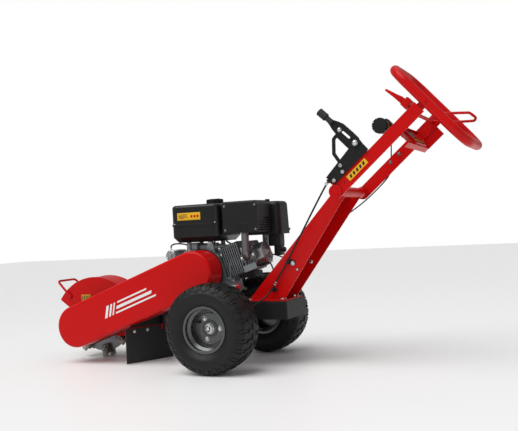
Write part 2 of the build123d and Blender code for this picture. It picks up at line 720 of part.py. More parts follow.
with BuildPart() as crankcase:
    with BuildSketch(side(CASE_RIGHT)):
        with BuildLine():
            case_outline(0)
        make_face()
    extrude(amount=CASE_RIGHT - PTO_FACE)
    with BuildSketch(side(CASE_RIGHT - 8)):
        with BuildLine():
            case_outline(8)
        make_face()
    extrude(amount=CASE_RIGHT - PTO_FACE - 16, mode=Mode.SUBTRACT)
    peg(PTO_FACE, CASE_RIGHT, CRANK_X, CRANK_Z, ENGINE_SHAFT_R + RUNNING, Mode.SUBTRACT)
    with BuildSketch(bore_face(CASE_OUT - 20)):
        with Locations((CYL_MID_Y, 0)):
            Circle(44)
    extrude(amount=30, mode=Mode.SUBTRACT)
    # feet
    block(-294, -20, -82, -50, ENGINE_FOOT_Z, ENGINE_FOOT_Z + 9)
    for foot_x in (-294, -58):
        block(foot_x, foot_x + 38, 80, 112, ENGINE_FOOT_Z, ENGINE_FOOT_Z + 9)
    # posts under the fuel tank
    for post_x in (-121, -245):
        for post_y in (-48, 76):
            with BuildSketch(top(CASE_TOP, post_x, post_y)):
                Circle(13)
            extrude(amount=TANK_LOW - CASE_TOP, taper=3)
    # oil filler neck
    with BuildSketch(across(-52, -50, 363)):
        Circle(12)
    extrude(amount=60)
    with BuildSketch(across(-60, -50, 363)):
        Circle(5.6)
    extrude(amount=80, mode=Mode.SUBTRACT)
crankcase.part.label = "crankcase"
export_step(crankcase.part, "parts/crankcase.step")

with BuildPart() as side_cover:
    with BuildSketch(side(PTO_FACE, CRANK_X, CRANK_Z)):
        Circle(86)
        with Locations((0, -26)):
            Circle(66)
        make_hull()
    extrude(amount=10)
    with BuildSketch(side(PTO_FACE - 10, CRANK_X, CRANK_Z)):
        Circle(42)
        with PolarLocations(62, 8, 22.5):
            Rectangle(44, 5)
    extrude(amount=PTO_FACE - 10 - SIDE_COVER_FACE)
    peg(SIDE_COVER_FACE, PTO_FACE, CRANK_X, CRANK_Z, ENGINE_SHAFT_R + RUNNING, Mode.SUBTRACT)
side_cover.part.label = "side_cover"
export_step(side_cover.part, "parts/side_cover.step")

with BuildPart() as cylinder:
    with BuildSketch(bore_face(CASE_OUT)):
        with Locations((CYL_MID_Y, 0)):
            Circle(50)
    extrude(amount=CYL_OUT - CASE_OUT)
    for i in range(FIN_COUNT):
        with BuildSketch(bore_face(CASE_OUT + 8 + i * FIN_PITCH)):
            with Locations((CYL_MID_Y, FIN_RISE)):
                RectangleRounded(2 * FIN_HALF, 2 * (FIN_HALF + FIN_RISE), 14)
        extrude(amount=FIN_T)
    with BuildSketch(bore_face(CASE_OUT)):
        with Locations((CYL_MID_Y, 0)):
            Circle(44)
    extrude(amount=CYL_OUT - CASE_OUT, mode=Mode.SUBTRACT)
cylinder.part.label = "cylinder"
export_step(cylinder.part, "parts/cylinder.step")

with BuildPart() as cylinder_head:
    with BuildSketch(bore_face(CYL_OUT)):
        with Locations((CYL_MID_Y, 0)):
            RectangleRounded(2 * FIN_HALF, 2 * FIN_HALF, 12)
    extrude(amount=10)
    with BuildSketch(bore_face(CYL_OUT)):
        with Locations((CYL_MID_Y, 0)):
            RectangleRounded(108, 112, 10)
    extrude(amount=HEAD_OUT - CYL_OUT)
    for fin_a in (222, 236, 250):
        with BuildSketch(bore_face(fin_a)):
            with Locations((CYL_MID_Y, HEAD_FIN_RISE)):
                RectangleRounded(2 * FIN_HALF, 2 * (FIN_HALF + HEAD_FIN_RISE), 12)
        extrude(amount=5)
    # exhaust flange, intake flange and the lower air baffle
    with BuildSketch(barrel(-36, 240)):
        with Locations((0, 4)):
            RectangleRounded(54, 34, 12)
    extrude(amount=16)
    with BuildSketch(barrel(86, 238)):
        with Locations((0, 4)):
            RectangleRounded(46, 40, 12)
    extrude(amount=20)
    with BuildSketch(barrel(-44)):
        with Locations((231, -46)):
            Rectangle(68, 30)
    extrude(amount=14)
cylinder_head.part.label = "cylinder_head"
export_step(cylinder_head.part, "parts/cylinder_head.step")

with BuildPart() as valve_cover:
    with BuildSketch(bore_face(HEAD_OUT)):
        with Locations((CYL_MID_Y + 3, 0)):
            octagon = Rectangle(106, 106)
        chamfer(octagon.vertices(), 30)
    extrude(amount=COVER_OUT - HEAD_OUT)
    chamfer(valve_cover.faces().sort_by(Axis.X)[-1].edges(), 4)
valve_cover.part.label = "valve_cover"
export_step(valve_cover.part, "parts/valve_cover.step")

with BuildPart() as spark_plug:
    with BuildSketch(bore_face(HEAD_OUT)):
        with Locations((-42, -48)):
            Circle(7)
    extrude(amount=24)
    with BuildSketch(bore_face(HEAD_OUT + 10)):
        with Locations((-42, -48)):
            Circle(10)
    extrude(amount=34)
spark_plug.part.label = "spark_plug"
export_step(spark_plug.part, "parts/spark_plug.step")

# Exhaust: elbow off the head's left side up into the muffler, under a louvred guard.
EXHAUST_A = 240
PIPE_X = CRANK_X + CYL_DROP * sin(radians(CYL_TILT)) + EXHAUST_A * cos(radians(CYL_TILT))
PIPE_X -= 4 * sin(radians(CYL_TILT))
PIPE_Z = CRANK_Z - CYL_DROP * cos(radians(CYL_TILT)) + EXHAUST_A * sin(radians(CYL_TILT))
PIPE_Z += 4 * cos(radians(CYL_TILT))
PIPE_Y = -84
GUARD_LEFT, GUARD_RIGHT = -95, 56
with BuildPart() as muffler:
    with BuildLine() as pipe_path:
        FilletPolyline(point(PIPE_X, -56, PIPE_Z), point(PIPE_X, PIPE_Y, PIPE_Z),
                       point(PIPE_X - 4, PIPE_Y + 14, 640), radius=23)
    with BuildSketch(Plane(origin=pipe_path.line @ 0, z_dir=pipe_path.line % 0)):
        Circle(18)
    sweep()
    with BuildSketch(barrel(-52, EXHAUST_A)):
        with Locations((0, 4)):
            RectangleRounded(84, 42, 16)
    extrude(amount=8)
    with BuildSketch(side(GUARD_RIGHT - 8, 62, 692)):
        RectangleRounded(150, 116, 40)
    extrude(amount=GUARD_RIGHT - GUARD_LEFT - 16)
    # stand-offs that carry the guard
    for pad_x in (2, 122):
        with BuildSketch(top(744, pad_x, -20)):
            Circle(9)
        extrude(amount=24)
muffler.part.label = "muffler"
export_step(muffler.part, "parts/muffler.step")

with BuildPart() as muffler_guard:
    with BuildSketch(top(619, 63.5, (GUARD_LEFT + GUARD_RIGHT) / 2)):
        Rectangle(183, GUARD_RIGHT - GUARD_LEFT)
    extrude(amount=151)
    chamfer(muffler_guard.edges().filter_by(Axis.Y).group_by(Axis.Z)[-1].sort_by(Axis.X)[-1], 18)
    fillet(muffler_guard.edges().filter_by(Axis.X).group_by(Axis.Z)[-1], 10)
    with BuildSketch(top(619, 63.5, (GUARD_LEFT + GUARD_RIGHT) / 2)):
        Rectangle(179, GUARD_RIGHT - GUARD_LEFT - 4)
    extrude(amount=132, mode=Mode.SUBTRACT)
    with BuildSketch(top(750, 56, (GUARD_LEFT + GUARD_RIGHT) / 2)):
        Rectangle(160, GUARD_RIGHT - GUARD_LEFT - 22)
    extrude(amount=18, mode=Mode.SUBTRACT)
    for i in range(6):
        block(150, 160, -84, 46, 628 + 11 * i, 633 + 11 * i, Mode.SUBTRACT)
muffler_guard.part.label = "muffler_guard"
export_step(muffler_guard.part, "parts/muffler_guard.step")

# Air cleaner on the right, fed down an elbow into the carburettor on the head's right side.
CARB_X, CARB_Z = 76, 506
CARB_IN, CARB_OUT = 86, 136
with BuildPart() as carburettor:
    with BuildSketch(side(CARB_OUT, CARB_X, CARB_Z)):
        RectangleRounded(48, 44, 8)
    extrude(amount=CARB_OUT - CARB_IN)
    with BuildSketch(top(460, CARB_X, 111)):
        Circle(18)
    extrude(amount=28)
    with BuildLine() as intake_path:
        FilletPolyline(point(CARB_X, CARB_OUT - 2, CARB_Z), point(CARB_X, 160, CARB_Z),
                       point(CARB_X, 160, 604), radius=20)
    with BuildSketch(Plane(origin=intake_path.line @ 0, z_dir=intake_path.line % 0)):
        Circle(17)
    sweep()
    peg(CARB_OUT - 12, CARB_OUT, CARB_X - 18, CARB_Z - 15, 3 + RUNNING, Mode.SUBTRACT)
    with BuildSketch(top(CARB_Z + 10, CARB_X - 12, 106)):
        Circle(3 + RUNNING)
    extrude(amount=12, mode=Mode.SUBTRACT)
carburettor.part.label = "carburettor"
export_step(carburettor.part, "parts/carburettor.step")

with BuildPart() as choke_lever:
    with BuildSketch(side(CARB_OUT + GAP + 3)):
        strip((CARB_X - 18, CARB_Z - 15), (CARB_X - 50, CARB_Z - 30), 9)
    extrude(amount=3)
    peg(CARB_OUT - 11, CARB_OUT + GAP, CARB_X - 18, CARB_Z - 15, 3)
    peg(CARB_OUT + GAP, CARB_OUT + 12, CARB_X - 50, CARB_Z - 30, 4)
choke_lever.part.label = "choke_lever"
export_step(choke_lever.part, "parts/choke_lever.step")

with BuildPart() as throttle_lever:
    with BuildSketch(top(CARB_Z + 22 + GAP)):
        strip((CARB_X - 12, 106), (CARB_X - 12, 140), 10)
    extrude(amount=3)
    with BuildSketch(top(CARB_Z + 11)):
        with Locations((CARB_X - 12, 106)):
            Circle(3)
    extrude(amount=11 + GAP)
throttle_lever.part.label = "throttle_lever"
export_step(throttle_lever.part, "parts/throttle_lever.step")

AIR_X, AIR_Y = 105, 132
with BuildPart() as air_cleaner_base:
    with BuildSketch(top(604, AIR_X, AIR_Y)):
        RectangleRounded(184, 138, 26)
    extrude(amount=15)
air_cleaner_base.part.label = "air_cleaner_base"
export_step(air_cleaner_base.part, "parts/air_cleaner_base.step")

with BuildPart() as air_cleaner_cover:
    with BuildSketch(top(619, AIR_X, AIR_Y)):
        RectangleRounded(192, 146, 28)
    extrude(amount=12)
    with BuildSketch(top(631, AIR_X, AIR_Y)):
        RectangleRounded(184, 138, 30)
    extrude(amount=134, taper=2)
    fillet(air_cleaner_cover.faces().sort_by(Axis.Z)[-1].edges(), 20)
    with BuildSketch(top(619, AIR_X, AIR_Y)):
        RectangleRounded(176, 130, 26)
    extrude(amount=120, taper=2, mode=Mode.SUBTRACT)
    # clamping knob
    with BuildSketch(top(764, AIR_X, AIR_Y + 4)):
        Circle(11)
    extrude(amount=14)
air_cleaner_cover.part.label = "air_cleaner_cover"
export_step(air_cleaner_cover.part, "parts/air_cleaner_cover.step")

# Fuel tank on four posts, with its cap.
TANK_X, TANK_Y = -184.5, 35
CAP_X, CAP_Y = -128, 24
with BuildPart() as fuel_tank:
    with BuildSketch(top(TANK_LOW, TANK_X, TANK_Y)):
        RectangleRounded(265, 260, 34)
    extrude(amount=TANK_TOP - TANK_LOW)
    fillet(fuel_tank.faces().sort_by(Axis.Z)[-1].edges(), 16)
    chamfer(fuel_tank.faces().sort_by(Axis.Z)[0].edges(), 26)
    with BuildSketch(top(TANK_SEAM - 5, TANK_X, TANK_Y)):
        RectangleRounded(273, 268, 38)
    extrude(amount=10)
    with BuildSketch(top(TANK_LOW + 22, TANK_X, TANK_Y)):
        RectangleRounded(236, 231, 20)
    extrude(amount=TANK_TOP - TANK_LOW - 37, mode=Mode.SUBTRACT)
    with BuildSketch(top(TANK_TOP - 20, CAP_X, CAP_Y)):
        Circle(30)
    extrude(amount=32)
    with BuildSketch(top(TANK_TOP - 30, CAP_X, CAP_Y)):
        Circle(25)
    extrude(amount=42, mode=Mode.SUBTRACT)
fuel_tank.part.label = "fuel_tank"
export_step(fuel_tank.part, "parts/fuel_tank.step")

with BuildPart() as fuel_cap:
    with BuildSketch(top(TANK_TOP + GAP, CAP_X, CAP_Y)):
        Circle(41)
        with PolarLocations(41, 6):
            Circle(9, mode=Mode.SUBTRACT)
    extrude(amount=22)
    with BuildSketch(top(TANK_TOP + GAP, CAP_X, CAP_Y)):
        Circle(30 + GAP)
    extrude(amount=12, mode=Mode.SUBTRACT)
fuel_cap.part.label = "fuel_cap"
export_step(fuel_cap.part, "parts/fuel_cap.step")

# Flywheel, its housing on the right and the pull starter's grip.
HOUSE_R = 104
HOUSE_Y = 205
ROPE_Y, ROPE_Z = 193, 463
with BuildPart() as recoil_housing:
    peg(CASE_RIGHT, HOUSE_Y, CRANK_X, CRANK_Z, HOUSE_R)
    fillet(recoil_housing.faces().sort_by(Axis.Y)[-1].edges(), 12)
    peg(HOUSE_Y, HOUSE_Y + 18, CRANK_X, CRANK_Z, 78)
    block(-66, -36, ROPE_Y - 12, ROPE_Y + 12, ROPE_Z - 12, ROPE_Z + 12)
    block(-260, -225, 150, 196, 496, 540)
    peg(CASE_RIGHT, HOUSE_Y - 12, CRANK_X, CRANK_Z, HOUSE_R - 3, Mode.SUBTRACT)
    peg(HOUSE_Y - 12, HOUSE_Y + 15, CRANK_X, CRANK_Z, 74, Mode.SUBTRACT)
    with BuildSketch(across(-262, 173, 518)):
        Circle(3 + RUNNING)
    extrude(amount=14, mode=Mode.SUBTRACT)
recoil_housing.part.label = "recoil_housing"
export_step(recoil_housing.part, "parts/recoil_housing.step")

with BuildPart() as recoil_grip:
    with BuildSketch(across(-36 + GAP, ROPE_Y, ROPE_Z)):
        RectangleRounded(52, 17, 8)
    extrude(amount=20)
    fillet(recoil_grip.edges(), 2.5)
recoil_grip.part.label = "recoil_grip"
export_step(recoil_grip.part, "parts/recoil_grip.step")

with BuildPart() as engine_switch:
    with BuildSketch(across(-272, 173, 518)):
        Circle(12)
    extrude(amount=12 - GAP)
    with BuildSketch(across(-277, 173, 518)):
        RectangleRounded(22, 6, 2)
    extrude(amount=5)
    with BuildSketch(across(-265, 173, 518)):
        Circle(3)
    extrude(amount=16)
engine_switch.part.label = "engine_switch"
export_step(engine_switch.part, "parts/engine_switch.step")

with BuildPart() as flywheel_fan:
    peg(116, 150, CRANK_X, CRANK_Z, 70)
    with BuildSketch(side(150, CRANK_X, CRANK_Z)):
        with PolarLocations(80, 18):
            Rectangle(30, 4, rotation=20)
    extrude(amount=34)
    peg(116, 150, CRANK_X, CRANK_Z, ENGINE_SHAFT_R, Mode.SUBTRACT)
flywheel_fan.part.label = "flywheel_fan"
export_step(flywheel_fan.part, "parts/flywheel_fan.step")

with BuildPart() as crankshaft:
    peg(PULLEY_LEFT - 4, 158, CRANK_X, CRANK_Z, ENGINE_SHAFT_R)
    # crank webs turn inside the hollow crankcase
    for web_y in (-8, 30):
        with BuildSketch(side(web_y + 12)):
            strip((CRANK_X - 34, CRANK_Z), (CRANK_X + 30, CRANK_Z), 52)
        extrude(amount=12)
    peg(4, 30, CRANK_X + 30, CRANK_Z, 15)
crankshaft.part.label = "crankshaft"
export_step(crankshaft.part, "parts/crankshaft.step")

with BuildPart() as starter_motor:
    peg(-92, 34, -328, 524, 28)
    fillet(starter_motor.faces().sort_by(Axis.Y)[0].edges(), 6)
    peg(-98, -90, -328, 524, 9)
    block(-306, -290, 2, 30, 488, 512)
    peg(-84, -30, -342, 486, 13)
    block(-350, -334, -78, -38, 486, 520)
starter_motor.part.label = "starter_motor"
export_step(starter_motor.part, "parts/starter_motor.step")

with BuildPart() as dipstick:
    with BuildSketch(across(8 + GAP, -50, 363)):
        Circle(15)
    extrude(amount=14)
    with BuildSketch(across(-60, -50, 363)):
        Circle(5)
    extrude(amount=70)
dipstick.part.label = "dipstick"
export_step(dipstick.part, "parts/dipstick.step")

# ================================================================ upper handle
BAR_MID_N = (BAR_FRONT - BAR_BACK) / 2
BAR_WIDE = BAR_FRONT + BAR_BACK
SHAFT_S = 462
SHAFT_R = 8
JOURNAL_R = 6
with BuildPart() as handle_bars:
    for bar_y in (-BAR_OUT + BAR_T, BAR_OUT):
        with BuildSketch(lean(bar_y)):
            with Locations((BAR_END / 2, BAR_MID_N)):
                Rectangle(BAR_END, BAR_WIDE)
            with Locations((0, BAR_MID_N)):
                Circle(BAR_WIDE / 2)
            Circle(PIVOT_PIN_R + RUNNING, mode=Mode.SUBTRACT)
            with Locations((SHAFT_S, 0)):
                Circle(JOURNAL_R + RUNNING, mode=Mode.SUBTRACT)
        extrude(amount=BAR_T)
    # stiffening strip along the left bar, wing on the right bar, index discs over the pivot
    with BuildSketch(lean(-BAR_OUT + BAR_T)):
        with Locations(((WING_END + 8) / 2, (BAR_FRONT + WING_N) / 2)):
            Rectangle(WING_END - 8, WING_N - BAR_FRONT)
    extrude(amount=BAR_T)
    with BuildSketch(lean(BAR_OUT)):
        with Locations(((CONSOLE_S + CHEEK_END_S) / 2, (CONSOLE_LOW_N - BAR_BACK) / 2)):
            Rectangle(CHEEK_END_S - CONSOLE_S, -BAR_BACK - CONSOLE_LOW_N)
    extrude(amount=4)
    leant_peg(-BAR_OUT - CAP_T, -BAR_OUT, 0, 0, CAP_R)
    leant_peg(BAR_OUT, BAR_OUT + CAP_T, 0, 0, CAP_R)
    for dimple_y in (-BAR_OUT - CAP_T, BAR_OUT + CAP_T - 2):
        with BuildSketch(lean(dimple_y + 2)):
            with PolarLocations(17, 8):
                Circle(2.6)
        extrude(amount=2, mode=Mode.SUBTRACT)
handle_bars.part.label = "handle_bars"
export_step(handle_bars.part, "parts/handle_bars.step")

with BuildPart() as loop_handle:
    with BuildLine(square_to(LOOP_S)) as loop_path:
        FilletPolyline((-LOOP_HALF, LOOP_TOP_N), (LOOP_HALF, LOOP_TOP_N),
                       (LOOP_HALF, LOOP_LOW_N), (-LOOP_HALF, LOOP_LOW_N), radius=LOOP_BEND,
                       close=True)
    with BuildSketch(Plane(origin=loop_path.line @ 0, z_dir=loop_path.line % 0)):
        Circle(LOOP_TUBE_R)
    sweep()
    # lugs against the bars' inner faces, and the bolts through the tube
    for lug_y in (-LOOP_HALF, LOOP_HALF - 12):
        with BuildSketch(lean(lug_y + 12)):
            with Locations((LOOP_S - 28, BAR_MID_N)):
                Rectangle(44, 34)
        extrude(amount=12)
    leant_peg(-LOOP_HALF - 27, -LOOP_HALF, LOOP_S, BAR_MID_N, 9.5)
    leant_peg(LOOP_HALF, LOOP_HALF + 27, LOOP_S, BAR_MID_N, 9.5)
loop_handle.part.label = "loop_handle"
export_step(loop_handle.part, "parts/loop_handle.step")

INNER = BAR_OUT - BAR_T
PANEL_W = 2 * INNER
with BuildPart() as console_panel:
    with BuildSketch(square_to(CONSOLE_S)):
        with Locations((0, (CONSOLE_LOW_N + CONSOLE_TOP_N) / 2)):
            Rectangle(PANEL_W, CONSOLE_TOP_N - CONSOLE_LOW_N)
    extrude(amount=CONSOLE_T)
    with BuildSketch(lean(INNER)):
        with Locations((CONSOLE_S + CONSOLE_T - 12.5, CONSOLE_LOW_N + 1.5)):
            Rectangle(25, CONSOLE_T)
        with Locations((CONSOLE_S + CONSOLE_T + 9, CONSOLE_TOP_N - 1.5)):
            Rectangle(18, CONSOLE_T)
    extrude(amount=PANEL_W)
    # switch panel on the operator's side
    with BuildSketch(square_to(CONSOLE_S + CONSOLE_T)):
        with Locations((50, -32)):
            RectangleRounded(190, 74, 8)
    extrude(amount=9)
    with BuildSketch(square_to(CONSOLE_S + CONSOLE_T + 9)):
        with Locations((0, -32), (52, -32)):
            Circle(13)
        with Locations((112, -32)):
            RectangleRounded(44, 40, 5)
    extrude(amount=9)
console_panel.part.label = "console_panel"
export_step(console_panel.part, "parts/console_panel.step")

POD_LEFT, POD_END = -150, -62
with BuildPart() as control_pod:
    leant_peg(POD_LEFT, POD_END, POD_S, POD_N, POD_R)
    with BuildSketch(lean(-80)):
        with Locations((CONSOLE_S - 4, 25)):
            Rectangle(8, 110)
        with Locations((CONSOLE_S - 14, POD_N)):
            Rectangle(28, 26)
    extrude(amount=50)
    leant_peg(POD_LEFT, POD_LEFT + 24, POD_S, POD_N, 6 + RUNNING, Mode.SUBTRACT)
control_pod.part.label = "control_pod"
export_step(control_pod.part, "parts/control_pod.step")

with BuildPart() as control_knob:
    leant_peg(POD_LEFT - 26, POD_LEFT - GAP, POD_S, POD_N, KNOB_R)
    fillet(control_knob.faces().sort_by(Axis.Y)[0].edges(), 5)
    with BuildSketch(lean(POD_LEFT - 8, POD_S, POD_N)):
        with PolarLocations(KNOB_R, 10):
            Circle(4)
    extrude(amount=18, mode=Mode.SUBTRACT)
    leant_peg(POD_LEFT - GAP, POD_LEFT + 20, POD_S, POD_N, 6)
control_knob.part.label = "control_knob"
export_step(control_knob.part, "parts/control_knob.step")

BRACKET_OUT = -200
with BuildPart() as brake_bracket:
    with BuildSketch(lean(BRACKET_OUT + 5)):
        with BuildLine():
            Polyline((12, 72), (20, 24), (228, 24), (228, 60), (231, 91), (196, 91), (88, 80),
                     close=True)
        make_face()
        strip((176, 88), (173, 168), 15)
        strip((173, 168), (151, 166), 15)
        strip((151, 166), (108, 120), 15)
        strip((108, 120), (102, 78), 15)
    extrude(amount=5)
    with BuildSketch(lean(-BAR_OUT)):
        with Locations((124, 36)):
            Rectangle(204, 24)
    extrude(amount=2)
    # anchor lug for the brake cable
    with BuildSketch(lean(-BAR_OUT)):
        with Locations((14, 52)):
            Rectangle(16, 18)
    extrude(amount=12)
brake_bracket.part.label = "brake_bracket"
export_step(brake_bracket.part, "parts/brake_bracket.step")

LEVER_OUT = BRACKET_OUT - GAP - 5
GRIP_DIR = (-0.089, 0.996)


def along_lever(distance):
    """Point of the brake lever's centreline at a distance from its pivot."""
    return (LEVER_S + GRIP_DIR[0] * distance, LEVER_N + GRIP_DIR[1] * distance)


with BuildPart() as brake_lever:
    with BuildSketch(lean(LEVER_OUT + 5)):
        strip(along_lever(0), along_lever(96), 30)
        strip(along_lever(80), along_lever(150), 20)
        strip(along_lever(34), along_lever(72), 8)
        with Locations((LEVER_S, LEVER_N)):
            Circle(6 + RUNNING, mode=Mode.SUBTRACT)
    extrude(amount=5)
    with BuildSketch(lean(LEVER_OUT + 5)):
        with Locations(along_lever(54)):
            SlotOverall(48, 9, rotation=95)
    extrude(amount=5, mode=Mode.SUBTRACT)
    leant_peg(LEVER_OUT - 6, LEVER_OUT, *along_lever(94), 8)
brake_lever.part.label = "brake_lever"
export_step(brake_lever.part, "parts/brake_lever.step")

GRIP_PLANE = Plane(
    origin=leant(*along_lever(LEVER_LENGTH - 80), LEVER_OUT + 2.5),
    z_dir=leant(*along_lever(200), 0) - leant(*along_lever(100), 0),
    x_dir=(0, 1, 0),
)
with BuildPart() as brake_grip:
    with BuildSketch(GRIP_PLANE):
        Circle(12)
    extrude(amount=80)
    with BuildSketch(GRIP_PLANE.offset(80 - 42)):
        Circle(17)
    extrude(amount=42)
    with BuildSketch(lean(LEVER_OUT + 5)):
        strip(along_lever(80), along_lever(150), 20)
    extrude(amount=5, mode=Mode.SUBTRACT)
brake_grip.part.label = "brake_grip"
export_step(brake_grip.part, "parts/brake_grip.step")

# Presence bail: a cross shaft between the bars with a finger arm and a side paddle.
ARM_Y_LEFT = -160
with BuildPart() as presence_bail:
    leant_peg(GAP - INNER, INNER - GAP, SHAFT_S, 0, SHAFT_R)
    leant_peg(GAP - BAR_OUT, BAR_OUT - GAP, SHAFT_S, 0, JOURNAL_R)
    with BuildLine() as arm_path:
        FilletPolyline(leant(SHAFT_S, 0, ARM_Y_LEFT), leant(474, 70, ARM_Y_LEFT),
                       leant(452, 145, ARM_Y_LEFT), radius=24)
    with BuildSketch(Plane(origin=arm_path.line @ 0, z_dir=arm_path.line % 0)):
        Circle(ROD_R)
    sweep()
    with BuildLine() as paddle_path:
        FilletPolyline(leant(SHAFT_S, 0, 96), leant(526, -28, 96), leant(606, -108, 108),
                       leant(PADDLE_S, PADDLE_N, 130), leant(526, -78, 144),
                       leant(SHAFT_S, 0, 150), radius=14)
    with BuildSketch(Plane(origin=paddle_path.line @ 0, z_dir=paddle_path.line % 0)):
        Circle(ROD_R)
    sweep()
presence_bail.part.label = "presence_bail"
export_step(presence_bail.part, "parts/presence_bail.step")

with BuildPart() as handle_bolts:
    # lever pivot
    leant_peg(LEVER_OUT - GAP, BRACKET_OUT, LEVER_S, LEVER_N, 6)
    leant_peg(LEVER_OUT - GAP - 6, LEVER_OUT - GAP, LEVER_S, LEVER_N, 10)
    for bolt_s, bolt_n in ((95, 62), (83, 36), (30, 36)):
        leant_peg(BRACKET_OUT - 6, BRACKET_OUT, bolt_s, bolt_n, 8)
    for bolt_s, bolt_n in ((330, 12), (352, -18)):
        leant_peg(INNER - 6, INNER, bolt_s, bolt_n, 8)
handle_bolts.part.label = "handle_bolts"
export_step(handle_bolts.part, "parts/handle_bolts.step")

# ================================================================ cables and fasteners
BRAKE_CABLE_R, THROTTLE_CABLE_R = 4, 3


def bent(points):
    """A cable's centreline: straight runs joined by tangent arcs, as wide as the runs allow."""
    runs = [(b - a).length for a, b in zip(points, points[1:])]
    made = [points[0]]
    pieces = []
    for i in range(1, len(points) - 1):
        into = (points[i] - points[i - 1]).normalized()
        out = (points[i + 1] - points[i]).normalized()
        half_turn = radians(into.get_angle(out)) / 2
        reach = 0.45 * min(runs[i - 1], runs[i])
        radius = reach / (sin(half_turn) / cos(half_turn))
        mid = points[i] + (out - into).normalized() * radius * (1 / cos(half_turn) - 1)
        start = points[i] - into * reach
        end = points[i] + out * reach
        pieces.append(Line(made[-1], start))
        pieces.append(ThreePointArc(start, mid, end))
        made.append(end)
        print("cable bend radius", round(radius, 1))
    pieces.append(Line(made[-1], points[-1]))
    return pieces


with BuildPart() as brake_cable:
    with BuildLine() as brake_route:
        bent([
            leant(5.2, 52, -199), leant(-14, 51, -198), point(298, -102, 478),
            point(256, -97, 420), point(214, -91, 361),
            point(186, -104, 322), point(158, -140, 296), point(134, -190, 276),
            point(100.8, -208, 270),
        ])
    with BuildSketch(Plane(origin=brake_route.line @ 0, z_dir=brake_route.line % 0)):
        Circle(BRAKE_CABLE_R)
    sweep()
brake_cable.part.label = "brake_cable"
export_step(brake_cable.part, "parts/brake_cable.step")

with BuildPart() as throttle_cable:
    with BuildLine() as throttle_route:
        bent([
            leant(POD_S - 4, POD_N - 4, POD_END + 1), leant(314, 62, 0), leant(282, 52, 90),
            leant(244, 42, 168), leant(216, 28, 204), leant(184, -6, 205),
            leant(148, -36, 196), leant(20, -44, 168), leant(-70, -40, 142),
            point(452, 122, 640), point(372, 116, 548), point(300, 116, 486),
            point(228, 118, 470), point(160, 112, 500), point(CARB_X + 25.2, 112, 512),
        ])
    with BuildSketch(Plane(origin=throttle_route.line @ 0, z_dir=throttle_route.line % 0)):
        Circle(THROTTLE_CABLE_R)
    sweep()
throttle_cable.part.label = "throttle_cable"
export_step(throttle_cable.part, "parts/throttle_cable.step")

with BuildPart() as frame_bolts:
    for bolt_y in (-FOOT_BOLT_OUT, -FOOT_BOLT_IN, FOOT_BOLT_IN, FOOT_BOLT_OUT):
        with BuildSketch(top(COLUMN_FOOT_Z, FOOT_BOLT_X, bolt_y)):
            RegularPolygon(9, 6)
        extrude(amount=8)
    for bolt_x in (-276, -38):
        for bolt_y in (-72, 103):
            with BuildSketch(top(ENGINE_FOOT_Z + 9, bolt_x, bolt_y)):
                RegularPolygon(8, 6)
            extrude(amount=7)
frame_bolts.part.label = "frame_bolts"
export_step(frame_bolts.part, "parts/frame_bolts.step")
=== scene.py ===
import logging
import math
from dataclasses import dataclass
from enum import Enum
from typing import Sequence

import bmesh
import bpy
from mathutils import Matrix, Vector


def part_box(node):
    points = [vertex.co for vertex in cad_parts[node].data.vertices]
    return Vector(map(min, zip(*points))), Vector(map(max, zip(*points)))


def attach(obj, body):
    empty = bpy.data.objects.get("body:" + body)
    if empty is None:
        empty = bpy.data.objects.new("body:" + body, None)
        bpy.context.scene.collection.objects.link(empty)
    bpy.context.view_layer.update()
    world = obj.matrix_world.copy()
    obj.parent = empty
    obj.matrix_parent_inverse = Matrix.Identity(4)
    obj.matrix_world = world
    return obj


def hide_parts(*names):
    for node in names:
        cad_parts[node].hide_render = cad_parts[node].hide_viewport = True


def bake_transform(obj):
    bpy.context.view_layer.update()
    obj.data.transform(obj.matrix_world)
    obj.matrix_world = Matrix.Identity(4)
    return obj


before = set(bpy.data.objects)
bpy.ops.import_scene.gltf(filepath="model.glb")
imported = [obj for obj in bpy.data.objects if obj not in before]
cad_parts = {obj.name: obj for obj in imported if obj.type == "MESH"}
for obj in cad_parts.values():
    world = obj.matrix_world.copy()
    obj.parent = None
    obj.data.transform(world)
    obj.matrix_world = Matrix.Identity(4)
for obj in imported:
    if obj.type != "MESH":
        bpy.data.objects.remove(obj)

LOG = logging.getLogger("stump_grinder")
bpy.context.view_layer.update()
Colour = tuple[float, float, float]
Pair = tuple[float, float]
TONE_CELLS, SPOT_CELLS = 9.0, 70.0
COAT_ROUGHNESS = 0.16
# Painted shade: reach and colour of the darkening that ambient occlusion puts in hollows and
# corners.
HOLLOW_SHADE_REACH = 0.02
HOLLOW_SHADE_COLOUR = (0.012, 0.01, 0.008, 1.0)
SHADING_SAMPLES = 4


class Grain(Enum):
    """The fine surface of a finish."""

    PEEL = "sprayed paint"
    CAST = "sand-cast metal"
    BRUSHED = "rolled or ground metal"
    MOULDED = "textured plastic"
    RUBBER = "vulcanised rubber"


class Side(Enum):
    """The machine's left and right, as the sign of Y."""

    LEFT = -1
    RIGHT = 1


class Head(Enum):
    """The shape of a fastener's head."""

    HEX = 6
    DOME = 24


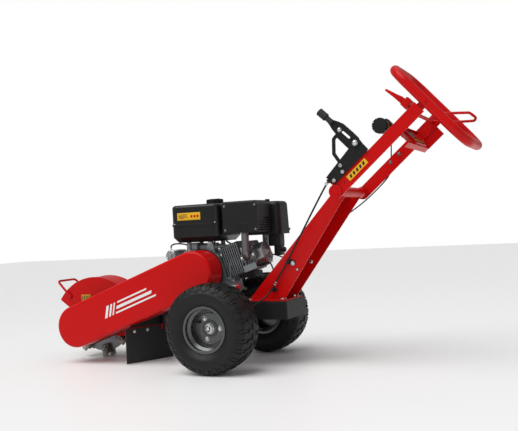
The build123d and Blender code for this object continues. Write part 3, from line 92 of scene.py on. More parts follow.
@dataclass(frozen=True)
class Finish:
    """One surface finish and how to make its material.

    Lengths are in metres.
    """

    name: str
    colour: Colour
    mottle: Colour
    roughness: float
    spread: float = 0.08
    metallic: float = 0.0
    coat: float = 0.0
    specular: float = 0.35
    grain: Grain = Grain.PEEL
    grain_size: float = 0.003
    relief: float = 0.06
    edge: float = 0.0012
    worn: Colour | None = None
    # Strength of the painted shade that darkens hollows and corners.
    hollow_shade: float = 0.35

    def material(self) -> bpy.types.Material:
        """Return the material, made once and then shared.

        Returns:
            The Blender material of this finish.
        """
        known = bpy.data.materials.get(self.name)
        if known is not None:
            return known
        made = bpy.data.materials.new(self.name)
        made.use_nodes = True
        made.diffuse_color = (*self.colour, 1.0)
        tree = made.node_tree
        shader = tree.nodes["Principled BSDF"]
        shader.inputs["Metallic"].default_value = self.metallic
        shader.inputs["Coat Weight"].default_value = self.coat
        shader.inputs["Coat Roughness"].default_value = COAT_ROUGHNESS
        shader.inputs["Specular IOR Level"].default_value = self.specular
        place = tree.nodes.new("ShaderNodeTexCoord")
        tone = self._noise(tree, place, TONE_CELLS, 5.0, 0.62)
        spots = self._noise(tree, place, SPOT_CELLS, 3.0, 0.55)
        colour = self._mix(tree, tone.outputs["Fac"], (*self.colour, 1.0), (*self.mottle, 1.0))
        # Painted shade in hollows and corners, from ambient occlusion.
        colour = self._shaded_hollows(tree, colour, spots.outputs["Fac"])
        normal = self._rounded(tree)
        if self.worn is not None:
            colour = self._worn(tree, colour, normal, spots.outputs["Fac"])
        tree.links.new(colour, shader.inputs["Base Color"])
        rough = tree.nodes.new("ShaderNodeMapRange")
        rough.inputs["From Min"].default_value = 0.3
        rough.inputs["From Max"].default_value = 0.7
        rough.inputs["To Min"].default_value = max(0.03, self.roughness - self.spread)
        rough.inputs["To Max"].default_value = min(1.0, self.roughness + self.spread)
        tree.links.new(spots.outputs["Fac"], rough.inputs["Value"])
        tree.links.new(rough.outputs["Result"], shader.inputs["Roughness"])
        bump = tree.nodes.new("ShaderNodeBump")
        bump.inputs["Strength"].default_value = self.relief
        bump.inputs["Distance"].default_value = self.grain_size
        tree.links.new(self._grain_height(tree, place), bump.inputs["Height"])
        tree.links.new(normal.outputs["Normal"], bump.inputs["Normal"])
        tree.links.new(bump.outputs["Normal"], shader.inputs["Normal"])
        return made

    @staticmethod
    def _noise(
        tree: bpy.types.NodeTree,
        place: bpy.types.Node,
        scale: float,
        detail: float,
        rough: float,
        stretch: Colour = (1.0, 1.0, 1.0),
    ) -> bpy.types.Node:
        """Add a noise field.

        Args:
            tree: The material's nodes.
            place: The texture coordinate node.
            scale: Cells in a metre.
            detail: Octaves of finer noise.
            rough: How strong the finer octaves are.
            stretch: Scale of each axis before the noise.

        Returns:
            The noise node.
        """
        mapping = tree.nodes.new("ShaderNodeMapping")
        mapping.inputs["Scale"].default_value = stretch
        tree.links.new(place.outputs["Object"], mapping.inputs["Vector"])
        node = tree.nodes.new("ShaderNodeTexNoise")
        node.inputs["Scale"].default_value = scale
        node.inputs["Detail"].default_value = detail
        node.inputs["Roughness"].default_value = rough
        tree.links.new(mapping.outputs["Vector"], node.inputs["Vector"])
        return node

    @staticmethod
    def _mix(
        tree: bpy.types.NodeTree, factor: bpy.types.NodeSocket | float, a: object, b: object
    ) -> bpy.types.NodeSocket:
        """Mix two colours.

        Args:
            tree: The material's nodes.
            factor: Share of the second colour.
            a: First colour, a socket or four numbers.
            b: Second colour, a socket or four numbers.

        Returns:
            The mixed colour.
        """
        node = tree.nodes.new("ShaderNodeMix")
        node.data_type = "RGBA"
        for value, socket in ((factor, node.inputs[0]), (a, node.inputs[6]), (b, node.inputs[7])):
            if isinstance(value, bpy.types.NodeSocket):
                tree.links.new(value, socket)
            else:
                socket.default_value = value
        return next(socket for socket in node.outputs if socket.type == "RGBA")

    def _shaded_hollows(
        self, tree: bpy.types.NodeTree, colour: bpy.types.NodeSocket, spots: bpy.types.NodeSocket
    ) -> bpy.types.NodeSocket:
        """Paint shade into the hollows: darken the corners and recesses that ambient occlusion
        finds, broken up by a fine noise.

        Args:
            tree: The material's nodes.
            colour: Colour so far.
            spots: A fine noise that breaks the edge of the painted shade.

        Returns:
            The darkened colour.
        """
        hollow = tree.nodes.new("ShaderNodeAmbientOcclusion")
        hollow.samples = SHADING_SAMPLES
        hollow.inputs["Distance"].default_value = HOLLOW_SHADE_REACH
        amount = tree.nodes.new("ShaderNodeMapRange")
        amount.inputs["From Min"].default_value = 0.25
        amount.inputs["From Max"].default_value = 0.85
        amount.inputs["To Min"].default_value = self.hollow_shade
        amount.inputs["To Max"].default_value = 0.0
        tree.links.new(hollow.outputs["AO"], amount.inputs["Value"])
        broken = tree.nodes.new("ShaderNodeMath")
        broken.operation = "MULTIPLY"
        tree.links.new(amount.outputs["Result"], broken.inputs[0])
        tree.links.new(spots, broken.inputs[1])
        return self._mix(tree, broken.outputs[0], colour, HOLLOW_SHADE_COLOUR)

    def _rounded(self, tree: bpy.types.NodeTree) -> bpy.types.Node:
        """Round the sharp edges in the shading.

        Args:
            tree: The material's nodes.

        Returns:
            The bevel node.
        """
        node = tree.nodes.new("ShaderNodeBevel")
        node.samples = SHADING_SAMPLES
        node.inputs["Radius"].default_value = self.edge
        return node

    def _worn(
        self,
        tree: bpy.types.NodeTree,
        colour: bpy.types.NodeSocket,
        rounded: bpy.types.Node,
        spots: bpy.types.NodeSocket,
    ) -> bpy.types.NodeSocket:
        """Rub the finish thin along edges.

        Args:
            tree: The material's nodes.
            colour: Colour so far.
            rounded: The bevel node.
            spots: A fine noise that breaks the wear up.

        Returns:
            The colour with its worn edges.
        """
        flat = tree.nodes.new("ShaderNodeNewGeometry")
        turn = tree.nodes.new("ShaderNodeVectorMath")
        turn.operation = "DOT_PRODUCT"
        tree.links.new(flat.outputs["True Normal"], turn.inputs[0])
        tree.links.new(rounded.outputs["Normal"], turn.inputs[1])
        edge = tree.nodes.new("ShaderNodeMapRange")
        edge.inputs["From Min"].default_value = 0.95
        edge.inputs["From Max"].default_value = 0.75
        tree.links.new(turn.outputs["Value"], edge.inputs["Value"])
        broken = tree.nodes.new("ShaderNodeMath")
        broken.operation = "MULTIPLY"
        tree.links.new(edge.outputs["Result"], broken.inputs[0])
        tree.links.new(spots, broken.inputs[1])
        return self._mix(tree, broken.outputs[0], colour, (*self.worn, 1.0))

    def _grain_height(
        self, tree: bpy.types.NodeTree, place: bpy.types.Node
    ) -> bpy.types.NodeSocket:
        """Make the height field of the finish's grain.

        Args:
            tree: The material's nodes.
            place: The texture coordinate node.

        Returns:
            The height socket.
        """
        scale = 1.0 / self.grain_size
        if self.grain is Grain.BRUSHED:
            return self._noise(tree, place, scale, 2.0, 0.5, (0.08, 1.0, 1.0)).outputs["Fac"]
        if self.grain is Grain.MOULDED:
            cells = tree.nodes.new("ShaderNodeTexVoronoi")
            cells.inputs["Scale"].default_value = scale
            tree.links.new(place.outputs["Object"], cells.inputs["Vector"])
            return cells.outputs["Distance"]
        detail = {Grain.CAST: 6.0, Grain.RUBBER: 4.0}.get(self.grain, 1.5)
        return self._noise(tree, place, scale, detail, 0.6).outputs["Fac"]


RED = Finish("red_enamel", (0.56, 0.0035, 0.004), (0.49, 0.0028, 0.003), 0.32, 0.03, coat=0.06,
             specular=0.12, grain_size=0.0025, relief=0.02, worn=(0.62, 0.03, 0.025), hollow_shade=0.5)
BLACK = Finish("black_enamel", (0.0085, 0.0085, 0.009), (0.0125, 0.0125, 0.013), 0.44, 0.06,
               specular=0.2, grain_size=0.002, relief=0.08, worn=(0.06, 0.06, 0.06))
DARK = Finish("dark_steel", (0.03, 0.03, 0.031), (0.022, 0.02, 0.019), 0.5, 0.1, 0.55,
              grain=Grain.BRUSHED, relief=0.12, worn=(0.16, 0.16, 0.16))
FORGED = Finish("forged_steel", (0.17, 0.16, 0.14), (0.11, 0.1, 0.088), 0.5, 0.12, 0.6,
                grain=Grain.CAST, grain_size=0.002, relief=0.25, worn=(0.35, 0.33, 0.3))
BRIGHT = Finish("turned_alloy", (0.42, 0.44, 0.45), (0.34, 0.36, 0.37), 0.34, 0.08, 0.8,
                grain=Grain.BRUSHED, grain_size=0.0015, relief=0.06, worn=(0.6, 0.6, 0.6))
ZINC = Finish("zinc_plate", (0.72, 0.73, 0.74), (0.6, 0.6, 0.6), 0.28, 0.1, 1.0,
              grain=Grain.BRUSHED, grain_size=0.0015, relief=0.05, edge=0.0006, hollow_shade=0.6)
SILVER = Finish("wheel_silver", (0.12, 0.122, 0.125), (0.09, 0.092, 0.095), 0.3, 0.06, 0.8,
                coat=0.1, grain_size=0.0015, relief=0.06, worn=(0.45, 0.45, 0.45), hollow_shade=0.5)
CASTING = Finish("die_cast", (0.33, 0.37, 0.385), (0.24, 0.275, 0.29), 0.4, 0.09, 0.55,
                 grain=Grain.CAST, grain_size=0.0025, relief=0.28, worn=(0.5, 0.52, 0.54),
                 hollow_shade=0.7)
IRON = Finish("cast_iron", (0.05, 0.05, 0.052), (0.035, 0.034, 0.033), 0.55, 0.12, 0.6,
              grain=Grain.CAST, relief=0.4, worn=(0.2, 0.2, 0.2))
PLASTIC = Finish("black_moulding", (0.008, 0.008, 0.0083), (0.012, 0.012, 0.0124), 0.4, 0.05,
                 specular=0.25, grain=Grain.MOULDED, grain_size=0.0016, relief=0.12,
                 worn=(0.05, 0.05, 0.05))
GLOSS = Finish("tank_enamel", (0.008, 0.008, 0.0086), (0.011, 0.011, 0.0115), 0.3, 0.04,
               coat=0.14, specular=0.25, grain_size=0.0025, relief=0.03,
               worn=(0.06, 0.06, 0.06))
TYRE = Finish("tyre_rubber", (0.0075, 0.0075, 0.0077), (0.0115, 0.0113, 0.011), 0.5, 0.08,
              specular=0.25, grain=Grain.RUBBER, grain_size=0.0012, relief=0.25,
              worn=(0.035, 0.034, 0.033))
RUBBER = Finish("black_rubber", (0.013, 0.013, 0.013), (0.018, 0.018, 0.018), 0.55, 0.07,
                grain=Grain.RUBBER, grain_size=0.001, relief=0.15, worn=(0.04, 0.04, 0.04))
CARBIDE = Finish("carbide", (0.3, 0.27, 0.22), (0.2, 0.18, 0.15), 0.4, 0.12, 0.7,
                 grain=Grain.CAST, relief=0.3, worn=(0.6, 0.58, 0.52))
YELLOW = Finish("label_yellow", (0.78, 0.45, 0.01), (0.7, 0.38, 0.01), 0.4, 0.05, relief=0.01,
                edge=0.0002, hollow_shade=0.1)
INK = Finish("label_black", (0.01, 0.01, 0.01), (0.014, 0.014, 0.014), 0.4, 0.05, relief=0.01,
             edge=0.0002, hollow_shade=0.0)
WHITE = Finish("label_white", (0.8, 0.8, 0.8), (0.74, 0.74, 0.74), 0.38, 0.05, relief=0.01,
               edge=0.0002, hollow_shade=0.1)
GREY = Finish("grey_moulding", (0.2, 0.205, 0.21), (0.16, 0.165, 0.17), 0.45, 0.06,
              grain=Grain.MOULDED, grain_size=0.0014, relief=0.1)
GREEN = Finish("green_ring", (0.12, 0.4, 0.03), (0.1, 0.34, 0.03), 0.4, 0.05, relief=0.02)
RED_CAP = Finish("red_moulding", (0.5, 0.01, 0.008), (0.42, 0.008, 0.006), 0.34, 0.06,
                 grain=Grain.MOULDED, relief=0.06)


@dataclass(frozen=True)
class Layout:
    """Where things are: millimetres from the floor under the axle, or along the handle."""

    pivot_x: float = 578.3
    pivot_z: float = 777.1
    rake: float = 40.83
    cutter_x: float = -849.4
    cutter_z: float = 187.4
    crank_x: float = -153.1
    crank_z: float = 441.5
    bore_slant: float = 18.0
    bore_offset: float = 15.0

    def axle_x(self) -> float:
        """Return the axle's place along the row's X, read from the left tyre."""
        low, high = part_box("tyre_left")
        return (low[0] + high[0]) / 2

    def at(self, x: float, y: float, z: float) -> Vector:
        """Return a point of the row from millimetres about the axle's foot."""
        return Vector((self.axle_x() + x / 1000, y / 1000, z / 1000))

    def leant(self, s: float, n: float, y: float) -> Vector:
        """Return a point s up the handle, n in front of it and y across it."""
        c, k = math.cos(math.radians(self.rake)), math.sin(math.radians(self.rake))
        return self.at(self.pivot_x + s * c - n * k, y, self.pivot_z + s * k + n * c)

    def up_handle(self) -> Vector:
        """Return the direction up the handle."""
        return Vector((math.cos(math.radians(self.rake)), 0, math.sin(math.radians(self.rake))))

    def off_handle(self) -> Vector:
        """Return the direction square to the handle, towards the front."""
        return Vector((-math.sin(math.radians(self.rake)), 0, math.cos(math.radians(self.rake))))

    def barrel(self, a: float, p: float, y: float) -> Vector:
        """Return a point a along the engine's cylinder and p above its axis."""
        c, k = math.cos(math.radians(self.bore_slant)), math.sin(math.radians(self.bore_slant))
        x = self.crank_x + self.bore_offset * k + a * c - p * k
        return self.at(x, y, self.crank_z - self.bore_offset * c + a * k + p * c)

    def drive(self, d: float, h: float, y: float) -> Vector:
        """Return a point d along the belt drive from the cutter and h above its centreline."""
        run = Vector((self.crank_x - self.cutter_x, self.crank_z - self.cutter_z)).normalized()
        x = self.cutter_x + d * run.x - h * run.y
        return self.at(x, y, self.cutter_z + d * run.y + h * run.x)


PLACE = Layout()
LEFTWARD, RIGHTWARD = Vector((0, -1, 0)), Vector((0, 1, 0))
UPWARD, REARWARD = Vector((0, 0, 1)), Vector((1, 0, 0))
BARREL_OUT = Vector((math.cos(math.radians(PLACE.bore_slant)), 0,
                     math.sin(math.radians(PLACE.bore_slant))))


class Workshop:
    """Makes meshes, fastens them to bodies and dresses them."""

    @staticmethod
    def solid(name: str, mesh: bmesh.types.BMesh, smooth: float = 30.0) -> bpy.types.Object:
        """Turn built geometry into an object.

        Args:
            name: The piece's name.
            mesh: The geometry, freed here.
            smooth: Edges under this angle in degrees are shaded smooth.

        Returns:
            The new object.
        """
        data = bpy.data.meshes.new(name)
        bmesh.ops.recalc_face_normals(mesh, faces=mesh.faces)
        limit = math.radians(smooth)
        for edge in mesh.edges:
            edge.smooth = len(edge.link_faces) == 2 and edge.calc_face_angle(4.0) < limit
        for face in mesh.faces:
            face.smooth = True
        mesh.to_mesh(data)
        mesh.free()
        made = bpy.data.objects.new(name, data)
        bpy.context.scene.collection.objects.link(made)
        return made

    @staticmethod
    def fit(
        made: bpy.types.Object, body: str, finish: Finish, slot: str, *replaced: str
    ) -> None:
        """Fasten a piece to a body, dress it and log it.

        Args:
            made: The piece.
            body: The CAD body it moves with.
            finish: Its finish.
            slot: The record's material slot; not used.
            replaced: CAD nodes it stands for.
        """
        if made.type == "MESH" and not made.data.materials:
            made.data.materials.append(finish.material())
        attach(made, body)
        if replaced:
            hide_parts(*replaced)
        LOG.info("piece %s on %s", made.name, body)

    @classmethod
    def piece(
        cls, name: str, mesh: bmesh.types.BMesh, body: str, finish: Finish, slot: str,
        *replaced: str,
    ) -> None:
        """Turn built geometry into a piece and fasten it to a body.

        Args:
            name: The piece's name.
            mesh: The geometry, freed here.
            body: The CAD body it moves with.
            finish: Its finish.
            slot: The record's material slot; passed on to fit, not used.
            replaced: CAD nodes it stands for.
        """
        cls.fit(cls.solid(name, mesh), body, finish, slot, *replaced)

    @staticmethod
    def turned(normal: Vector) -> Matrix:
        """Return a rotation that carries +Z to a direction."""
        return normal.to_track_quat("Z", "Y").to_matrix().to_4x4()

    @classmethod
    def lathe(
        cls,
        mesh: bmesh.types.BMesh,
        section: Sequence[Pair],
        centre: Vector,
        axis: Vector,
        steps: int = 48,
        closed: bool = False,
    ) -> None:
        """Add a turned form.

        Args:
            mesh: Geometry to add to.
            section: Pairs of distance along the axis and radius, in metres.
            centre: Where the axis starts.
            axis: Its direction.
            steps: Facets round it.
            closed: Whether the section's ends join.
        """
        turn = Matrix.Translation(centre) @ cls.turned(axis)
        rings = []
        for k in range(steps):
            angle = math.tau * k / steps
            rings.append([
                mesh.verts.new(turn @ Vector((r * math.cos(angle), r * math.sin(angle), along)))
                for along, r in section
            ])
        count = len(section)
        for k in range(steps):
            this, after = rings[k], rings[(k + 1) % steps]
            for i in range(count if closed else count - 1):
                j = (i + 1) % count
                quad = [this[i], this[j], after[j], after[i]]
                mesh.faces.new(quad)
        if not closed:
            mesh.faces.new([ring[0] for ring in rings])
            mesh.faces.new([ring[-1] for ring in reversed(rings)])

    @staticmethod
    def prism(
        mesh: bmesh.types.BMesh, outline: Sequence[Vector], push: Vector, bevel: float = 0.0
    ) -> None:
        """Add a flat outline pushed to a thickness.

        Args:
            mesh: Geometry to add to.
            outline: Corners in order.
            push: The thickness as a vector.
            bevel: Width of the rounding on its edges.
        """
        low = [mesh.verts.new(p) for p in outline]
        high = [mesh.verts.new(p + push) for p in outline]
        faces = [mesh.faces.new(low), mesh.faces.new(list(reversed(high)))]
        count = len(outline)
        for i in range(count):
            j = (i + 1) % count
            faces.append(mesh.faces.new([low[j], low[i], high[i], high[j]]))
        if bevel > 0:
            edges = list(dict.fromkeys(e for f in faces for e in f.edges))
            bmesh.ops.bevel(mesh, geom=edges, offset=bevel, segments=2, affect="EDGES",
                            profile=0.6, clamp_overlap=True)

    @staticmethod
    def plate(
        mesh: bmesh.types.BMesh,
        outline: Sequence[Vector],
        holes: Sequence[Sequence[Vector]],
        push: Vector,
    ) -> None:
        """Add a flat plate with openings.

        Args:
            mesh: Geometry to add to.
            outline: Its corners in order.
            holes: Corners of each opening.
            push: Its thickness as a vector.
        """
        edges = []
        for loop in (outline, *holes):
            points = [mesh.verts.new(p) for p in loop]
            for i, point in enumerate(points):
                edges.append(mesh.edges.new((point, points[(i + 1) % len(points)])))
        made = bmesh.ops.triangle_fill(mesh, edges=edges, use_beauty=True, use_dissolve=False)
        faces = [g for g in made["geom"] if isinstance(g, bmesh.types.BMFace)]
        grown = bmesh.ops.extrude_face_region(mesh, geom=faces, use_keep_orig=True)
        moved = [g for g in grown["geom"] if isinstance(g, bmesh.types.BMVert)]
        bmesh.ops.translate(mesh, verts=moved, vec=push)

    @classmethod
    def block(
        cls,
        mesh: bmesh.types.BMesh,
        centre: Vector,
        size: Sequence[float],
        axes: tuple[Vector, Vector, Vector] | None = None,
        bevel: float = 0.001,
    ) -> None:
        """Add a block with rounded edges.

        Args:
            mesh: Geometry to add to.
            centre: Its middle.
            size: Its three sizes.
            axes: Its three directions, or the row's.
            bevel: Width of the rounding.
        """
        u, v, w = axes or (REARWARD, RIGHTWARD, UPWARD)
        du, dv, dw = u * size[0] / 2, v * size[1] / 2, w * size[2] / 2
        base = centre - dw
        outline = [base - du - dv, base + du - dv, base + du + dv, base - du + dv]
        cls.prism(mesh, outline, dw * 2, bevel)

    @classmethod
    def bolt(
        cls,
        mesh: bmesh.types.BMesh,
        seat: Vector,
        out: Vector,
        radius: float,
        head: Head = Head.HEX,
        washer: bool = True,
        turn: float = 0.0,
    ) -> None:
        """Add a bolt's head with its washer.

        Args:
            mesh: Geometry to add to.
            seat: Middle of the face it is tightened on.
            out: Direction its head points.
            radius: Of the head, over its flats.
            head: Its shape.
            washer: Whether a washer is under it.
            turn: Turns its flats, in radians.
        """
        lift = 0.0
        if washer:
            w = radius * 1.28
            cls.lathe(mesh, [(0, w), (radius * 0.16, w), (radius * 0.2, w * 0.95),
                             (radius * 0.2, radius * 0.4)], seat, out, 28)
            lift = radius * 0.2
        if head is Head.DOME:
            cls.lathe(mesh, [(lift, radius), (lift + radius * 0.25, radius),
                             (lift + radius * 0.5, radius * 0.84),
                             (lift + radius * 0.66, radius * 0.5),
                             (lift + radius * 0.7, radius * 0.1)], seat, out, 24)
            return
        frame_of = Matrix.Translation(seat) @ cls.turned(out) @ Matrix.Rotation(turn, 4, "Z")
        reach = radius / math.cos(math.pi / 6)
        tall = radius * 0.78
        low, mid, cap = [], [], []
        for k in range(6):
            a = math.tau * k / 6
            x, y = math.cos(a), math.sin(a)
            low.append(mesh.verts.new(frame_of @ Vector((reach * x, reach * y, lift))))
            mid.append(mesh.verts.new(frame_of @ Vector((reach * x, reach * y, lift + tall * 0.8))))
            cap.append(mesh.verts.new(
                frame_of @ Vector((radius * 0.86 * x, radius * 0.86 * y, lift + tall))))
        mesh.faces.new(list(reversed(low)))
        mesh.faces.new(cap)
        for k in range(6):
            j = (k + 1) % 6
            mesh.faces.new([low[k], low[j], mid[j], mid[k]])
            mesh.faces.new([mid[k], mid[j], cap[j], cap[k]])

    @staticmethod
    def line(
        name: str, points: Sequence[Vector], radius: float, sides: int = 4
    ) -> bpy.types.Object:
        """Make a smooth round tube along control points.

        Args:
            name: The piece's name.
            points: Control points of a NURBS line.
            radius: Of the tube.
            sides: Bevel resolution.

        Returns:
            The tube as a mesh object.
        """
        curve = bpy.data.curves.new(name, "CURVE")
        curve.dimensions = "3D"
        curve.bevel_depth = radius
        curve.bevel_resolution = sides
        curve.use_fill_caps = True
        curve.resolution_u = 10
        spline = curve.splines.new("NURBS")
        spline.points.add(len(points) - 1)
        for node, p in zip(spline.points, points):
            node.co = (*p, 1.0)
        spline.order_u = 3
        spline.use_endpoint_u = True
        holder = bpy.data.objects.new(name + "_line", curve)
        bpy.context.scene.collection.objects.link(holder)
        bpy.context.view_layer.update()
        shape = bpy.data.meshes.new_from_object(holder.evaluated_get(
            bpy.context.evaluated_depsgraph_get()))
        bpy.data.objects.remove(holder)
        for face in shape.polygons:
            face.use_smooth = True
        made = bpy.data.objects.new(name, shape)
        bpy.context.scene.collection.objects.link(made)
        return made

    @staticmethod
    def dress(finish: Finish, *nodes: str) -> None:
        """Give CAD nodes a finish.

        Args:
            finish: The finish.
            nodes: Names of the nodes.
        """
        for name in nodes:
            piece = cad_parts[name]
            if not piece.material_slots:
                piece.data.materials.append(finish.material())
            for held in piece.material_slots:
                held.material = finish.material()
            LOG.info("node %s in %s", name, finish.name)


@dataclass
class Wheel:
    """A pneumatic turf tyre on its pressed rim. Sizes in millimetres."""

    side: Side
    track: float = 305.7
    radius: float = 203.0
    shoulder: float = 74.0
    drop: float = 7.0
    wall_centre: Pair = (31.6, 151.4)
    wall_radius: float = 61.4
    bead: float = 72.7
    seat: float = 96.8
    groove: float = 5.5
    shoulder_sink: float = 3.6
    wall_ring: float = 0.9
    disc_face: float = 16.0
    pitches: int = 27
    lugs: tuple[float, ...] = (120.0, 250.0, 0.0)
    lug_circle: float = 51.0

    def body(self) -> str:
        """Return the CAD body of this wheel."""
        return "wheel_left" if self.side is Side.LEFT else "wheel_right"

    def crown(self, across: float) -> tuple[float, Pair]:
        """Find the tyre's outer surface.

        Args:
            across: Distance from the tyre's middle plane.

        Returns:
            The radius there, and the outward normal as (across, radial).
        """
        if abs(across) <= self.shoulder:
            bow = (self.shoulder ** 2 + self.drop ** 2) / (2 * self.drop)
            return self.radius - bow + math.sqrt(bow ** 2 - across ** 2), (0.0, 1.0)
        a = abs(across) - self.wall_centre[0]
        rise = math.sqrt(max(1.0, self.wall_radius ** 2 - a ** 2))
        normal = (math.copysign(a, across) / self.wall_radius, rise / self.wall_radius)
        return self.wall_centre[1] + rise, normal

    def section(self) -> list[Pair]:
        """Return the carcass's closed section as pairs of across and radius, in metres."""
        outer = [(-self.bead, self.seat), (-self.bead, 106.0)]
        for i in range(15):
            angle = math.radians(226.0 - 88.0 * i / 14)
            proud = self.wall_ring if i in (4, 5) else 0.0
            sunk = self.shoulder_sink * (1.0 if i > 10 else 0.5 if i == 10 else 0.0)
            reach = self.wall_radius + proud - sunk
            outer.append((-self.wall_centre[0] + reach * math.cos(angle),
                          self.wall_centre[1] + reach * math.sin(angle)))
        for a in (-66, -50, -34, -18, 0):
            outer.append((a, self.crown(a)[0] - self.groove))
        mirrored = [(-a, r) for a, r in reversed(outer[:-1])]
        inner = [(58.7, self.seat), (80.0, 150.0), (60.0, 186.0), (0.0, 190.0),
                 (-60.0, 186.0), (-80.0, 150.0), (-58.7, self.seat)]
        return [(a / 1000, r / 1000) for a, r in outer + mirrored + inner]

    def tread_block(
        self, mesh: bmesh.types.BMesh, hub: Vector, stations: Sequence[float],
        start: float, span: float, slant: float,
    ) -> None:
        """Add one tread block that follows the tyre's crown.

        Args:
            mesh: Geometry to add to.
            hub: The wheel's centre.
            stations: Distances across the tyre, from the middle outwards.
            start: Angle where the block begins, in radians.
            span: Its angle.
            slant: Change of angle from its inner to its outer end.
        """
        def spot(across: float, angle: float, deep: float) -> Vector:
            """Return the point on the tread at a depth under the crown."""
            r, normal = self.crown(across)
            a = (across - normal[0] * deep) / 1000
            r = (r - normal[1] * deep) / 1000
            return hub + Vector((r * math.sin(angle), a, r * math.cos(angle)))

        top, low = [], []
        last = len(stations) - 1
        for i, across in enumerate(stations):
            turn = start + slant * i / last
            ease = 0.0022 if 0 < i < last else 0.005
            row_top, row_low = [], []
            for j in range(4):
                share = j / 3
                angle = turn + ease + (span - 2 * ease) * share
                deep = (0.5 if 0 < i < last else 1.4) * (0.4 if 0 < j < 3 else 1)
                row_top.append(mesh.verts.new(spot(across, angle, deep)))
                root = spot(across, turn + span * share, self.groove + 0.8)
                row_low.append(mesh.verts.new(root))
            top.append(row_top)
            low.append(row_low)
        for i in range(last):
            for j in range(3):
                mesh.faces.new([top[i][j], top[i + 1][j], top[i + 1][j + 1], top[i][j + 1]])
            mesh.faces.new([low[i][0], low[i + 1][0], top[i + 1][0], top[i][0]])
            mesh.faces.new([top[i][3], top[i + 1][3], low[i + 1][3], low[i][3]])
        for j in range(3):
            mesh.faces.new([low[0][j + 1], low[0][j], top[0][j], top[0][j + 1]])
            mesh.faces.new([low[last][j], low[last][j + 1], top[last][j + 1], top[last][j]])

    def build(self) -> None:
        """Build the tyre with its tread, and the rim's small parts."""
        word = self.side.name.lower()
        self.tread(word)
        Workshop.dress(SILVER, f"rim_{word}")
        self.rim_trim(word)
        self.valve_stem(word)

    def tread(self, word: str) -> None:
        """Build the carcass with its three rows of blocks.

        Args:
            word: The side, as pieces' names have it.
        """
        hub = PLACE.at(0, self.side.value * self.track, self.radius)
        mesh = bmesh.new()
        Workshop.lathe(mesh, self.section(), hub, RIGHTWARD, 120, closed=True)
        pitch = math.tau / self.pitches
        for flank in (-1, 1):
            for k in range(self.pitches):
                start = pitch * (k + (0.5 if flank > 0 else 0.0))
                rim = [flank * a for a in (32, 46, 60, 72, 79, 84.5, 88, 90)]
                foot = [flank * a for a in (9, 17, 25, 30)]
                self.tread_block(mesh, hub, rim, start, pitch * 0.56, pitch * 0.12)
                self.tread_block(mesh, hub, foot, start - pitch * 0.3, pitch * 0.7, pitch * 0.16)
                stub = [flank * a for a in (54, 62, 70, 77, 82.5, 86)]
                self.tread_block(mesh, hub, stub, start + pitch * 0.68, pitch * 0.26, 0.0)
        tyre = Workshop.solid(f"tyre_{word}_tread", mesh, 38.0)
        Workshop.fit(tyre, self.body(), TYRE, "tyre", f"tyre_{word}")

    def rim_trim(self, word: str) -> None:
        """Add the disc's bolts and its two pressed beads.

        Args:
            word: The side, as pieces' names have it.
        """
        sign = self.side.value
        out = Vector((0, sign, 0))
        face = sign * (self.track + self.disc_face)
        small = bmesh.new()
        for angle in self.lugs:
            a = math.radians(angle)
            seat = PLACE.at(self.lug_circle * math.cos(a), face,
                            self.radius + self.lug_circle * math.sin(a))
            Workshop.bolt(small, seat, out, 0.0088, Head.DOME)
        Workshop.piece(f"wheel_bolts_{word}", small, self.body(), ZINC, "zinc_steel")
        ribs = bmesh.new()
        centre = PLACE.at(0, face, self.radius)
        Workshop.lathe(ribs, [(0, 0.0725), (0.0022, 0.0715), (0.0028, 0.0685), (0.0018, 0.066),
                              (0, 0.0655)], centre, out, 72, closed=True)
        Workshop.lathe(ribs, [(0, 0.0395), (0.0035, 0.0375), (0.0035, 0.0345), (0, 0.0325)],
                       centre, out, 60, closed=True)
        Workshop.piece(f"rim_beads_{word}", ribs, self.body(), SILVER, "rim_silver")

    def valve_stem(self, word: str) -> None:
        """Add the tyre's valve stem.

        Args:
            word: The side, as pieces' names have it.
        """
        sign = self.side.value
        stem = bmesh.new()
        valve = PLACE.at(-58 * math.cos(0.5), sign * (self.track + 17), self.radius + 58 * 0.48)
        Workshop.lathe(stem, [(-0.001, 0.006), (0.004, 0.0055), (0.008, 0.0038), (0.022, 0.0036),
                              (0.023, 0.0044), (0.031, 0.0042), (0.032, 0.0022)], valve,
                       Vector((-0.35, sign, 0.2)).normalized(), 20)
        Workshop.piece(f"valve_stem_{word}", stem, self.body(), RUBBER, "rubber")


